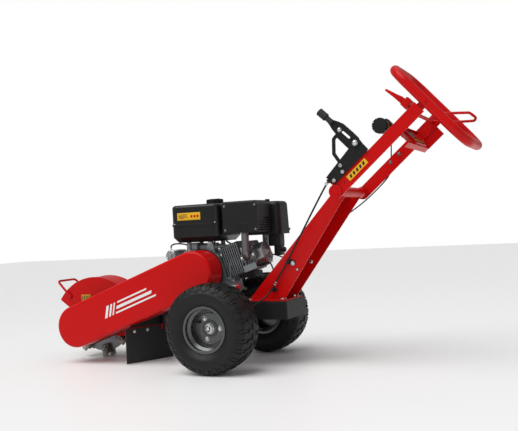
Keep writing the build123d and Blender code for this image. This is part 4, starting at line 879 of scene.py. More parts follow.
@dataclass
class CutterHead:
    """The toothed disc, its arched housing, bearings and lift bail. Sizes in millimetres."""

    stations: int = 8
    phase: float = -82.0
    disc_mid: float = 47.0
    disc_half: float = 8.0
    holder: float = 20.0
    tooth: float = 12.0
    arch: Pair = (-851.7, 148.4)
    arch_r: float = 275.0
    cheeks: Pair = (-20.0, 114.0)
    plate_at: Pair = (-908.0, 318.0)
    flap_end: Pair = (-548.0, 192.0)
    flap_run: Pair = (93.0, 190.0)

    def build(self) -> None:
        """Build and dress everything at the front."""
        Workshop.dress(DARK, "cutter_shaft", "cutter_disc")
        Workshop.dress(FORGED, "tooth_holders")
        Workshop.dress(IRON, "driven_pulley", "shaft_bearings")
        Workshop.dress(CARBIDE, "cutter_teeth")
        Workshop.dress(RED, "cutter_housing", "lift_bail", "flap_straps")
        Workshop.dress(RUBBER, "rubber_flaps")
        self.tips()
        self.bearing_bolts()
        self.hems()
        self.warning_plate()
        self.flap_bolts()
        self.flap_lap()
        self.frame_skirt()

    def tips(self) -> None:
        """Add the brazed tips and the bolts of every tooth."""
        tips, bolts = bmesh.new(), bmesh.new()
        for k in range(self.stations):
            a = math.radians(self.phase + 360 / self.stations * k)
            out = Vector((math.cos(a), 0, math.sin(a)))
            along = Vector((-math.sin(a), 0, math.cos(a)))
            for sign in (-1, 1):
                face = self.disc_mid + sign * (self.disc_half + self.holder)
                aside = Vector((0, sign, 0))
                centre = PLACE.at(PLACE.cutter_x, face + sign * self.tooth, PLACE.cutter_z)
                Workshop.prism(tips, [
                    centre + out * 0.162 - along * 0.011, centre + out * 0.162 + along * 0.011,
                    centre + out * 0.184 + along * 0.0125, centre + out * 0.1862,
                    centre + out * 0.184 - along * 0.0125], Vector((0, sign * 0.0035, 0)), 0.0008)
                Workshop.bolt(bolts, centre + out * 0.152, aside, 0.0065, washer=False, turn=a)
                hold = PLACE.at(PLACE.cutter_x, face, PLACE.cutter_z)
                Workshop.bolt(bolts, hold + out * 0.132, aside, 0.0072, washer=False, turn=a)
        Workshop.piece("tooth_tips", tips, "cutter", CARBIDE, "carbide")
        Workshop.piece("tooth_bolts", bolts, "cutter", DARK, "dark_steel")

    def bearing_bolts(self) -> None:
        """Add the bolts and grease nipples of the two flange bearings."""
        trim = bmesh.new()
        for y in self.cheeks:
            sign = -1 if y < 0 else 1
            for x, z in ((-36, -36), (36, -36), (-36, 36), (36, 36)):
                seat = PLACE.at(PLACE.cutter_x + x, y + sign * 10, PLACE.cutter_z + z)
                Workshop.bolt(trim, seat, Vector((0, sign, 0)), 0.0075)
            Workshop.lathe(trim, [(0, 0.0045), (0.006, 0.0045), (0.010, 0.003), (0.013, 0.0022)],
                           PLACE.at(PLACE.cutter_x, y + sign * 29, PLACE.cutter_z + 33),
                           UPWARD, 16)
        Workshop.piece("bearing_bolts", trim, "chassis", ZINC, "zinc_steel")

    def hems(self) -> None:
        """Add the rounded hem along both edges of the arch."""
        reach = self.arch_r + 0.4
        for y, word in zip(self.cheeks, ("left", "right")):
            points = []
            for i in range(25):
                a = math.radians(1 + 143 * i / 24)
                points.append(PLACE.at(self.arch[0] + reach * math.cos(a),
                                       y + (1.2 if y < 0 else -1.2),
                                       self.arch[1] + reach * math.sin(a)))
            seam = Workshop.line(f"housing_hem_{word}", points, 0.0021, sides=3)
            Workshop.fit(seam, "chassis", RED, "red_paint")

    def warning_plate(self) -> None:
        """Add the plain striped plate on the housing's left cheek."""
        plate, marks = bmesh.new(), bmesh.new()
        middle = PLACE.at(self.plate_at[0], self.cheeks[0] - 0.4, self.plate_at[1])
        Workshop.block(plate, middle, (0.058, 0.0007, 0.03), bevel=0.0003)
        for i in range(5):
            shift = Vector((-0.022 + 0.011 * i, -0.0005, 0))
            corner = middle + shift
            Workshop.prism(marks, [corner + Vector((-0.005, 0, -0.012)),
                                   corner + Vector((0.0005, 0, -0.012)),
                                   corner + Vector((0.0055, 0, 0.012)),
                                   corner + Vector((0, 0, 0.012))], Vector((0, -0.0004, 0)))
        Workshop.piece("housing_plate", plate, "chassis", YELLOW, "red_paint")
        Workshop.piece("housing_plate_stripes", marks, "chassis", INK, "black_paint")

    def flap_axes(self, sign: int) -> tuple[Vector, Vector]:
        """Find how one flap of the V lies.

        Args:
            sign: The side, as the sign of Y.

        Returns:
            The direction along the flap towards the middle, and the one square to it.
        """
        x, y = self.flap_run
        return Vector((x, sign * -y, 0)).normalized(), Vector((y, sign * x, 0)).normalized()

    def flap_bolts(self) -> None:
        """Add the bolts that hold the rubber flaps to their straps."""
        bolts = bmesh.new()
        for sign in (-1, 1):
            run, out = self.flap_axes(sign)
            start = PLACE.at(self.flap_end[0], sign * self.flap_end[1], 160)
            for step in (0.05, 0.124):
                Workshop.bolt(bolts, start + run * step + out * 0.004, out, 0.0062, Head.DOME)
        Workshop.piece("flap_bolts", bolts, "chassis", ZINC, "zinc_steel")

    def flap_lap(self) -> None:
        """Add the lap of rubber that covers the joint of the V."""
        lap = bmesh.new()
        run, out = self.flap_axes(-1)
        foot = PLACE.at(self.flap_end[0], -self.flap_end[1], 5)
        low, high, rise = run * 0.15, run * 0.268, UPWARD * 0.169
        Workshop.prism(lap, [foot + low, foot + high, foot + high + rise, foot + low + rise],
                       out * 0.0035, 0.0008)
        Workshop.piece("flap_lap", lap, "chassis", RUBBER, "rubber")

    def frame_skirt(self) -> None:
        """Add the thin black plates above the flaps."""
        skirt = bmesh.new()
        for sign, reach in ((-1, 0.262), (1, 0.2)):
            run, out = self.flap_axes(sign)
            foot = PLACE.at(self.flap_end[0], sign * self.flap_end[1], 178) - out * 0.006
            rise = UPWARD * 0.096
            Workshop.prism(skirt, [foot + run * 0.03, foot + run * reach,
                                   foot + run * reach + rise, foot + run * 0.1 + rise],
                           out * 0.003, 0.0006)
        Workshop.piece("frame_skirt", skirt, "chassis", BLACK, "black_paint")


@dataclass
class BeltDrive:
    """The belt guard, what turns in it and its plain stripes. Sizes in millimetres."""

    face: float = -205.0
    back: float = -90.0
    radius: float = 105.0

    def build(self) -> None:
        """Build and dress the drive."""
        Workshop.dress(RED, "belt_guard")
        Workshop.dress(BLACK, "guard_back_plate")
        Workshop.dress(RUBBER, "drive_belts")
        Workshop.dress(IRON, "drive_pulley")
        self.stripes()
        self.edge_screws()

    def stripes(self) -> None:
        """Add plain white slanted bars where such guards carry a sign."""
        mesh = bmesh.new()
        lift = Vector((0, -0.0005, 0))
        for d, wide in ((214, 16), (240, 12), (262, 9)):
            Workshop.prism(mesh, [PLACE.drive(d - 16, -27, self.face),
                                  PLACE.drive(d - 16 + wide, -27, self.face),
                                  PLACE.drive(d + 16 + wide, 27, self.face),
                                  PLACE.drive(d + 16, 27, self.face)], lift)
        for low, high, first, last in ((-27, -19, 268, 520), (-7, 7, 280, 500), (19, 27, 296, 480)):
            Workshop.prism(mesh, [PLACE.drive(first, low, self.face),
                                  PLACE.drive(last, low, self.face),
                                  PLACE.drive(last + (high - low) * 0.6, high, self.face),
                                  PLACE.drive(first + (high - low) * 0.6, high, self.face)], lift)
        Workshop.piece("guard_stripes", mesh, "chassis", WHITE, "ceramic_white")

    def edge_screws(self) -> None:
        """Add the screws round the guard's rim and the nuts on its arms."""
        mesh = bmesh.new()
        for d in (70, 260, 450, 640):
            for h, out in ((self.radius, 1), (-self.radius, -1)):
                seat = PLACE.drive(d, h, self.back - 12)
                up = (PLACE.drive(d, h + out, 0) - PLACE.drive(d, h, 0)).normalized()
                Workshop.bolt(mesh, seat, up, 0.0055, Head.DOME, washer=False)
        for x in (-540, -420):
            for z in (252, 272):
                Workshop.bolt(mesh, PLACE.at(x, self.back, z), LEFTWARD, 0.006, washer=False)
        Workshop.piece("guard_screws", mesh, "chassis", RED, "red_paint")


@dataclass
class Chassis:
    """Frame, deck, rear box, axle and lower handle. Sizes in millimetres."""

    foot_half: float = 75.0
    head_half: float = 117.0
    foot_z: float = 304.0
    hub_seat: float = 324.9
    hub_z: float = 203.0

    def column_side(self, z: float) -> float:
        """Return the half-width of the lower handle's outer face at a height."""
        rise = (z - self.foot_z) / (PLACE.pivot_z - self.foot_z)
        return self.foot_half + rise * (self.head_half - self.foot_half)

    def build(self) -> None:
        """Build and dress the chassis."""
        Workshop.dress(BLACK, "main_frame", "engine_plate", "rear_bumper", "axle")
        Workshop.dress(RED, "lower_handle")
        Workshop.dress(PLASTIC, "cable_clamp")
        Workshop.dress(ZINC, "frame_bolts", "brake_arm")
        self.hub_nuts()
        self.column_trim()
        self.box_trim()

    def hub_nuts(self) -> None:
        """Add the plated nuts, washers and split pins on the axle's ends."""
        mesh = bmesh.new()
        for sign in (-1, 1):
            out = Vector((0, sign, 0))
            seat = PLACE.at(0, sign * self.hub_seat, self.hub_z)
            Workshop.lathe(mesh, [(0, 0.0235), (0.0022, 0.0235), (0.003, 0.0225), (0.003, 0.013)],
                           seat, out, 40)
            Workshop.bolt(mesh, seat + out * 0.003, out, 0.0175, washer=False, turn=0.3)
            Workshop.lathe(mesh, [(0, 0.0085), (0.003, 0.0085), (0.005, 0.006), (0.0055, 0.001)],
                           seat + out * 0.0165, out, 24)
        Workshop.piece("hub_nuts", mesh, "chassis", ZINC, "zinc_steel")

    def column_trim(self) -> None:
        """Add the column's bolts and the two clips that hold the brake cable."""
        bolts, straps = bmesh.new(), bmesh.new()
        slope = Vector((0, -1, -0.089)).normalized()
        clip = PLACE.at(318, -self.column_side(470) - 4, 470)
        Workshop.bolt(bolts, clip, slope, 0.0085, Head.DOME)
        Workshop.bolt(bolts, PLACE.at(338, 92 - 7, 466), LEFTWARD, 0.0085)
        Workshop.bolt(bolts, PLACE.at(338, -(self.column_side(466) + 0.2), 440), slope, 0.0055,
                      Head.DOME, washer=False)
        Workshop.piece("column_bolts", bolts, "chassis", ZINC, "zinc_steel")
        for x, z, wide in ((300, 478, 0.017), (212, 352, 0.014)):
            side = -self.column_side(z)
            middle = PLACE.at(x - 2, side - 11, z)
            along = Vector((0.58, 0, 0.81)).normalized()
            Workshop.lathe(straps, [(-wide / 2, 0.0058), (-wide / 2, 0.0074), (wide / 2, 0.0074),
                                    (wide / 2, 0.0058)], middle, along, 24, closed=True)
            Workshop.block(straps, PLACE.at(x + 6, side - 5.5, z - 3), (0.026, 0.0022, wide),
                           bevel=0.0008)
        Workshop.piece("cable_clips", straps, "chassis", PLASTIC, "black_plastic")

    def box_trim(self) -> None:
        """Add the bolts of the deck and the studs under the rear box."""
        mesh = bmesh.new()
        for y in (-95, 95):
            Workshop.bolt(mesh, PLACE.at(96, y, 304), UPWARD, 0.0075)
        for y in (-97, 97):
            Workshop.lathe(mesh, [(0, 0.0045), (0.008, 0.0045), (0.009, 0.0035)],
                           PLACE.at(120, y, 216), -UPWARD, 16)
        Workshop.piece("deck_bolts", mesh, "chassis", ZINC, "zinc_steel")


@dataclass
class Engine:
    """The slanted single-cylinder engine and everything bolted to it. Sizes in millimetres."""

    mid_y: float = 17.0
    cover_a: float = 308.0
    cover_y: float = 20.0
    port: Pair = (240.0, -84.0)
    tank_y: float = -95.0
    cap: Pair = (-128.0, 24.0)
    stud: Pair = (105.0, 136.0)
    starter: Pair = (-328.0, 524.0)
    cleaner: Pair = (9.0, 205.0)
    guard_x: Pair = (-28.0, 155.0)
    guard_y: float = -95.0
    guard_z: Pair = (619.0, 770.0)

    def build(self) -> None:
        """Build and dress the engine."""
        Workshop.dress(CASTING, "crankcase", "side_cover", "cylinder", "cylinder_head",
                       "carburettor")
        Workshop.dress(BRIGHT, "valve_cover")
        Workshop.dress(DARK, "crankshaft", "muffler")
        Workshop.dress(IRON, "flywheel_fan")
        Workshop.dress(GLOSS, "fuel_tank", "recoil_housing")
        Workshop.dress(PLASTIC, "muffler_guard", "air_cleaner_base", "air_cleaner_cover",
                       "fuel_cap", "recoil_grip", "choke_lever", "engine_switch")
        Workshop.dress(BRIGHT, "starter_motor")
        Workshop.dress(PLASTIC, "spark_plug")
        Workshop.dress(ZINC, "throttle_lever")
        Workshop.dress(RED_CAP, "dipstick")
        self.valve_end()
        self.exhaust()
        self.block_trim()
        self.tank_trim()
        self.covers_trim()
        self.lines()
        self.recoil_trim()
        self.fillers()

    def fillers(self) -> None:
        """Add the castings and mouldings that fill the engine's upper gaps, and a black sheet under
        the cylinder that is painted shade.
        """
        def seen(points: Sequence[Pair], y: float) -> list[Vector]:
            """Return row points in one plane across."""
            return [PLACE.at(x, y, z) for x, z in points]

        cast, dark, bolts = bmesh.new(), bmesh.new(), bmesh.new()
        Workshop.prism(cast, seen(((-146, 520), (-100, 520), (-104, 566), (-112, 588), (-132, 588),
                                   (-140, 566)), -60), Vector((0, 0.016, 0)), 0.002)
        Workshop.bolt(bolts, PLACE.at(-121, -60, 578), LEFTWARD, 0.0085, Head.DOME)
        Workshop.bolt(bolts, PLACE.at(-80, -46, 545), LEFTWARD, 0.0062, Head.DOME)
        Workshop.block(cast, PLACE.at(-190, 20, 556), (0.15, 0.1, 0.03), bevel=0.006)
        Workshop.block(cast, PLACE.at(-226, -30, 564), (0.05, 0.036, 0.036), bevel=0.005)
        for k in range(6):
            Workshop.block(cast, PLACE.at(-250 + 22 * k, 20, 572), (0.004, 0.088, 0.01),
                           bevel=0.0012)
        for y in (-20, 17, 54):
            Workshop.block(cast, PLACE.at(-86, y, 540), (0.05, 0.008, 0.05), bevel=0.002)
        Workshop.piece("block_castings", cast, "chassis", CASTING, "casting")
        Workshop.block(dark, PLACE.at(162, 96, 576), (0.062, 0.06, 0.058), bevel=0.007)
        Workshop.block(dark, PLACE.at(176, 92, 528), (0.036, 0.05, 0.054), bevel=0.006)
        Workshop.lathe(dark, [(0, 0.008), (0.012, 0.008), (0.014, 0.012), (0.024, 0.012),
                              (0.026, 0.009)], PLACE.at(190, 78, 528), REARWARD, 24)
        # Painted shade: a black sheet under the cylinder, put where there is shade.
        Workshop.prism(dark, seen(((20, 400), (96, 410), (92, 436), (18, 430)), -34),
                       Vector((0, 0.1, 0)), 0.003)
        Workshop.piece("intake_elbow_and_shade_sheet", dark, "chassis", PLASTIC, "black_plastic")
        Workshop.piece("filler_bolts", bolts, "chassis", ZINC, "zinc_steel")

    def valve_end(self) -> None:
        """Add the boss, ribs and bolts of the valve cover, and the head's studs."""
        cover, bolts = bmesh.new(), bmesh.new()
        centre = PLACE.barrel(self.cover_a - 0.5, 0, self.cover_y)
        Workshop.lathe(cover, [(0, 0.037), (0.0024, 0.0365), (0.003, 0.034), (0.003, 0.0315),
                               (0.0012, 0.0305), (0.0012, 0.019), (0.0045, 0.0175),
                               (0.0052, 0.0155), (0.0052, 0.001)], centre, BARREL_OUT, 64)
        up = (PLACE.barrel(0, 1, 0) - PLACE.barrel(0, 0, 0)).normalized()
        for k in (-2, -1, 0, 1, 2):
            spot = PLACE.barrel(self.cover_a - 30, -55 - 0.4, self.cover_y + 12 * k)
            Workshop.block(cover, spot, (0.022, 0.003, 0.003), (BARREL_OUT, RIGHTWARD, up), 0.0008)
        Workshop.piece("valve_cover_boss", cover, "chassis", BRIGHT, "casting")
        Workshop.bolt(bolts, centre + BARREL_OUT * 0.005, BARREL_OUT, 0.0068, washer=False)
        for y, p in ((-46, 36), (46, 36), (-46, -36), (46, -36)):
            seat = PLACE.barrel(266, p * 1.32, self.mid_y + y * 1.18)
            Workshop.bolt(bolts, seat, BARREL_OUT, 0.0062)
        Workshop.piece("head_bolts", bolts, "chassis", ZINC, "zinc_steel")

    def exhaust(self) -> None:
        """Add the port flange of the exhaust pipe and its nuts."""
        flange, nuts = bmesh.new(), bmesh.new()
        a, y = self.port
        outline = []
        for k in range(24):
            t = math.tau * k / 24
            wide = 40 if abs(math.cos(t)) > 0.85 else 28
            outline.append(PLACE.barrel(a + wide * math.cos(t), 4 + 23 * math.sin(t), -59))
        Workshop.prism(flange, outline, Vector((0, -0.006, 0)), 0.001)
        Workshop.piece("exhaust_flange", flange, "chassis", DARK, "dark_steel")
        for shift in (-31, 31):
            seat = PLACE.barrel(a + shift, 4, -65)
            Workshop.bolt(nuts, seat, LEFTWARD, 0.0062)
            Workshop.lathe(nuts, [(0, 0.003), (0.009, 0.003), (0.0095, 0.002)], seat, LEFTWARD, 12)
        Workshop.piece("exhaust_nuts", nuts, "chassis", ZINC, "zinc_steel")
        bead = bmesh.new()
        Workshop.lathe(bead, [(-0.003, 0.0182), (-0.002, 0.0208), (0.002, 0.0208),
                              (0.003, 0.0182)], PLACE.barrel(a, 4, y + 18), LEFTWARD, 32, True)
        Workshop.piece("exhaust_weld", bead, "chassis", DARK, "dark_steel")

    def block_trim(self) -> None:
        """Add the crankcase's flange bolts and ribs, and the starter's bands and studs."""
        bolts, cast = bmesh.new(), bmesh.new()
        for k in range(8):
            t = math.tau * (k + 0.5) / 8
            seat = PLACE.at(PLACE.crank_x + 79 * math.cos(t), -78,
                            PLACE.crank_z + 79 * math.sin(t))
            Workshop.bolt(bolts, seat, LEFTWARD, 0.0055, washer=False, turn=t)
        for y in (-52, 86):
            for p in (-58, 58):
                Workshop.bolt(bolts, PLACE.barrel(104, p, y), BARREL_OUT, 0.006)
        Workshop.bolt(bolts, PLACE.at(-60, -62, 356), LEFTWARD, 0.008)
        Workshop.bolt(bolts, PLACE.at(-26, -30, 392), REARWARD, 0.007, washer=False)
        Workshop.bolt(bolts, PLACE.at(-26, 52, 392), REARWARD, 0.007, washer=False)
        Workshop.piece("block_bolts", bolts, "chassis", ZINC, "zinc_steel")
        for y in (-50, -36, -22, 56, 70, 84):
            Workshop.block(cast, PLACE.at(-24.5, y, 430), (0.006, 0.004, 0.09), bevel=0.0012)
        for x in (-250, -226, -202):
            Workshop.block(cast, PLACE.at(x, 96.4, 420), (0.004, 0.003, 0.12), bevel=0.001)
        Workshop.piece("block_ribs", cast, "chassis", CASTING, "casting")
        bands = bmesh.new()
        x, z = self.starter
        for y in (-84, -64, 18):
            Workshop.lathe(bands, [(-0.002, 0.0278), (-0.0015, 0.0288), (0.0015, 0.0288),
                                   (0.002, 0.0278)], PLACE.at(x, y, z), LEFTWARD, 40, True)
        for k in range(2):
            t = math.pi * k + 0.6
            seat = PLACE.at(x + 20 * math.cos(t), -92, z + 20 * math.sin(t))
            Workshop.bolt(bands, seat, LEFTWARD, 0.0045, washer=False)
        Workshop.lathe(bands, [(0, 0.006), (0.005, 0.006), (0.005, 0.003), (0.014, 0.003)],
                       PLACE.at(-336, -70, 551), UPWARD, 18)
        Workshop.piece("starter_bands", bands, "chassis", ZINC, "zinc_steel")

    def tank_trim(self) -> None:
        """Add the tank's plain label, seam bolts, filler neck and the cap's ribs."""
        plate, red, ink, bolts = bmesh.new(), bmesh.new(), bmesh.new(), bmesh.new()
        y = self.tank_y - 0.1
        Workshop.block(plate, PLACE.at(-212, y, 712), (0.128, 0.0008, 0.036), bevel=0.0003)
        for k in range(3):
            spot = PLACE.at(-196 + 17 * k, y - 0.5, 712)
            Workshop.lathe(red, [(0, 0.0062), (0.0004, 0.0062)], spot, LEFTWARD, 24)
            Workshop.block(ink, spot + Vector((0, -0.0005, 0)), (0.0024, 0.0003, 0.007), bevel=0)
        for row in range(4):
            long = (0.05, 0.044, 0.052, 0.03)[row]
            spot = PLACE.at(-268 + long * 500, y - 0.5, 721 - 6 * row)
            Workshop.block(ink, spot, (long, 0.0003, 0.0026), bevel=0)
        Workshop.piece("tank_plate", plate, "chassis", YELLOW, "black_paint")
        Workshop.piece("tank_plate_discs", red, "chassis", RED, "red_paint")
        Workshop.piece("tank_plate_bars", ink, "chassis", INK, "black_paint")
        for x in (-290, -68):
            Workshop.bolt(bolts, PLACE.at(x, -96, 675), UPWARD, 0.0052, washer=False)
        for x, across in ((-111, -58), (-235, 66), (-111, 66), (-235, -58)):
            Workshop.bolt(bolts, PLACE.at(x, across, 545), UPWARD, 0.0062, washer=False)
        Workshop.piece("tank_bolts", bolts, "chassis", ZINC, "zinc_steel")
        neck = bmesh.new()
        Workshop.lathe(neck, [(0, 0.047), (0.001, 0.0455), (0.0012, 0.042), (0.0004, 0.0415)],
                       PLACE.at(*self.cap, 767.6), UPWARD, 64)
        Workshop.piece("tank_neck", neck, "chassis", GLOSS, "black_paint")
        cap = bmesh.new()
        for k in range(30):
            t = math.tau * k / 30
            out = Vector((math.cos(t), math.sin(t), 0))
            side = Vector((-math.sin(t), math.cos(t), 0))
            spot = PLACE.at(*self.cap, 778) + out * 0.0412
            Workshop.block(cap, spot, (0.0022, 0.0042, 0.014), (out, side, UPWARD), 0.0009)
        Workshop.lathe(cap, [(0, 0.0345), (0.0016, 0.034), (0.0016, 0.0305), (0, 0.03)],
                       PLACE.at(*self.cap, 789.6), UPWARD, 56, closed=True)
        Workshop.block(cap, PLACE.at(*self.cap, 791), (0.052, 0.011, 0.005), bevel=0.0018)
        Workshop.piece("cap_ribs", cap, "fuel_cap_body", PLASTIC, "black_plastic")

    def covers_trim(self) -> None:
        """Add louvres and screws of the muffler guard, and ribs and knob of the air cleaner."""
        ribs, screws = bmesh.new(), bmesh.new()
        (front, rear), (low, high), y = self.guard_x, self.guard_z, self.guard_y
        for k in range(5):
            z = low + 12 + 7.5 * k
            Workshop.block(ribs, PLACE.at(front + 98, y - 0.6, z), (0.062, 0.0026, 0.0034),
                           bevel=0.0008)
        for x in (front + 12, rear - 12):
            for z in (high - 22, low + 14):
                Workshop.bolt(screws, PLACE.at(x, y - 0.2, z), LEFTWARD, 0.0052, Head.DOME)
        Workshop.piece("guard_ribs", ribs, "chassis", PLASTIC, "black_paint")
        front, right = self.cleaner
        pads = bmesh.new()
        for k in range(7):
            seat = PLACE.at(front + 36 + 20 * k, right - 0.2, 668)
            Workshop.block(pads, seat, (0.005, 0.003, 0.07), bevel=0.0012)
        Workshop.lathe(pads, [(0, 0.020), (0.002, 0.0195), (0.003, 0.0165), (0.003, 0.011)],
                       PLACE.at(*self.stud, 764.6), UPWARD, 48)
        for k in range(8):
            t = math.tau * k / 8
            out = Vector((math.cos(t), math.sin(t), 0))
            side = Vector((-math.sin(t), math.cos(t), 0))
            Workshop.block(pads, PLACE.at(*self.stud, 772) + out * 0.0105,
                           (0.003, 0.004, 0.011), (out, side, UPWARD), 0.001)
        Workshop.piece("cleaner_ribs", pads, "chassis", PLASTIC, "black_plastic")
        Workshop.piece("cover_screws", screws, "chassis", DARK, "dark_steel")

    def lines(self) -> None:
        """Add the ignition lead, fuel hose, governor rods and arm, and starter lead."""
        def route(*points: tuple[float, float, float]) -> list[Vector]:
            """Return row points from millimetres."""
            return [PLACE.at(*p) for p in points]

        plug = PLACE.barrel(318, -48, -42)
        lead = Workshop.line("ignition_lead", [
            PLACE.barrel(304, -48, -42), plug, plug + Vector((0.012, 0.02, -0.012)),
            PLACE.at(178, 18, 408), PLACE.at(150, 70, 420), PLACE.at(70, 112, 410),
            PLACE.at(-30, 118, 440), PLACE.at(-70, 116, 470)], 0.0034)
        Workshop.fit(lead, "chassis", RUBBER, "rubber")
        hose = Workshop.line("fuel_hose", route(
            (-100, 60, 600), (-98, 62, 584), (-80, 78, 566), (-40, 96, 548), (20, 104, 526),
            (48, 108, 516), (60, 110, 508)), 0.0045)
        Workshop.fit(hose, "chassis", RUBBER, "rubber")
        for n, (a, b) in enumerate((((-112, -40, 552), (66, 92, 540)),
                                    ((-106, -34, 556), (70, 98, 548)))):
            rod = Workshop.line(f"governor_rod_{n + 1}", route(a, (a[0] + 20, a[1] + 6, a[2] + 9),
                                                               (b[0] - 20, b[1] - 6, b[2] + 4), b),
                                0.0014)
            Workshop.fit(rod, "chassis", ZINC, "zinc_steel")
        arm = bmesh.new()
        Workshop.prism(arm, route((-116, -38, 543), (-100, -38, 543), (-103, -38, 586),
                                  (-112, -38, 586)), Vector((0, 0.003, 0)), 0.0008)
        Workshop.bolt(arm, PLACE.at(-107, -38, 556), LEFTWARD, 0.005)
        Workshop.piece("governor_arm", arm, "chassis", ZINC, "zinc_steel")
        wire = Workshop.line("starter_lead", route(
            (-336, -70, 563), (-336, -70, 574), (-330, -40, 582), (-316, 20, 578),
            (-300, 80, 560), (-262, 140, 528), (-246, 152, 520)), 0.0036)
        Workshop.fit(wire, "chassis", RUBBER, "rubber")

    def recoil_trim(self) -> None:
        """Add the fan housing's louvres and screws."""
        mesh, screws = bmesh.new(), bmesh.new()
        for k in range(2, 17):
            t = math.tau * k / 18
            out = Vector((math.cos(t), 0, math.sin(t)))
            side = Vector((-math.sin(t), 0, math.cos(t)))
            spot = PLACE.at(PLACE.crank_x, 205, PLACE.crank_z) + out * 0.092
            Workshop.block(mesh, spot, (0.018, 0.0022, 0.0035), (out, RIGHTWARD, side), 0.0008)
        Workshop.piece("fan_louvres", mesh, "chassis", GLOSS, "black_paint")
        for k in range(4):
            t = math.tau * k / 4 + 0.78
            seat = PLACE.at(PLACE.crank_x + 66 * math.cos(t), 222.6,
                            PLACE.crank_z + 66 * math.sin(t))
            Workshop.bolt(screws, seat, RIGHTWARD, 0.0062, Head.DOME)
        Workshop.piece("fan_screws", screws, "chassis", ZINC, "zinc_steel")


@dataclass
class Cables:
    """The two control cables, which run past the folding joint. Sizes in millimetres."""

    brake_r: float = 4.0
    throttle_r: float = 3.0

    def build(self) -> None:
        """Build both cables and the brake cable's ferrules."""
        brake = [PLACE.leant(5.2, 52, -199), PLACE.leant(-14, 51, -198),
                 PLACE.at(298, -102, 478), PLACE.at(256, -97, 420), PLACE.at(214, -91, 361),
                 PLACE.at(186, -104, 322), PLACE.at(158, -140, 296), PLACE.at(134, -190, 276),
                 PLACE.at(100.8, -208, 270)]
        throttle = [PLACE.leant(323, 64, -61), PLACE.leant(314, 62, 0),
                    PLACE.leant(282, 52, 90), PLACE.leant(244, 42, 168),
                    PLACE.leant(216, 28, 204), PLACE.leant(184, -6, 205),
                    PLACE.leant(148, -36, 196), PLACE.leant(20, -44, 168),
                    PLACE.leant(-70, -40, 142), PLACE.at(452, 122, 640),
                    PLACE.at(372, 116, 548), PLACE.at(300, 116, 486), PLACE.at(228, 118, 470),
                    PLACE.at(160, 112, 500), PLACE.at(101.2, 112, 512)]
        self.held("brake_line", "brake_cable", brake, self.brake_r,
                  PLACE.at(395, -141, 613), brake[1])
        self.held("throttle_line", "throttle_cable", throttle, self.throttle_r,
                  throttle[9], throttle[7])
        self.ferrules(brake)

    def held(
        self, name: str, node: str, points: list[Vector], radius: float, low: Vector, high: Vector
    ) -> None:
        """Build one cable in place of its CAD solid.

        Args:
            name: The piece's name.
            node: The CAD node it stands for.
            points: Its control points.
            radius: Of its sheath.
            low: Where it starts to leave the chassis; not used.
            high: Where it is fully on the handle; not used.
        """
        made = Workshop.line(name, points, radius / 1000)
        made.data.materials.append(PLASTIC.material())
        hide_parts(node)
        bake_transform(made)
        LOG.info("piece %s between chassis and handle", name)

    def ferrules(self, brake: list[Vector]) -> None:
        """Add the plated bands and adjusters at the ends of the brake cable.

        Args:
            brake: The cable's control points.
        """
        low, high = bmesh.new(), bmesh.new()
        axis = (brake[4] - brake[3]).normalized()
        for shift in (-0.006, 0.006):
            Workshop.lathe(low, [(-0.0022, 0.0044), (-0.0022, 0.0066), (0.0022, 0.0066),
                                 (0.0022, 0.0044)], brake[4] - axis * 0.024 + axis * shift,
                           axis, 28, closed=True)
        end = (brake[-1] - brake[-2]).normalized()
        Workshop.lathe(low, [(0, 0.0044), (0, 0.0062), (0.014, 0.0062), (0.0145, 0.005),
                             (0.0145, 0.0044)], brake[-1] - end * 0.016, end, 28, closed=True)
        Workshop.piece("brake_line_bands", low, "chassis", ZINC, "zinc_steel")
        top = (brake[0] - brake[1]).normalized()
        Workshop.lathe(high, [(-0.016, 0.0044), (-0.016, 0.006), (-0.004, 0.0064),
                              (-0.003, 0.0046), (-0.003, 0.0044)], brake[0], top, 28, closed=True)
        Workshop.piece("brake_line_adjuster", high, "handle", ZINC, "zinc_steel")


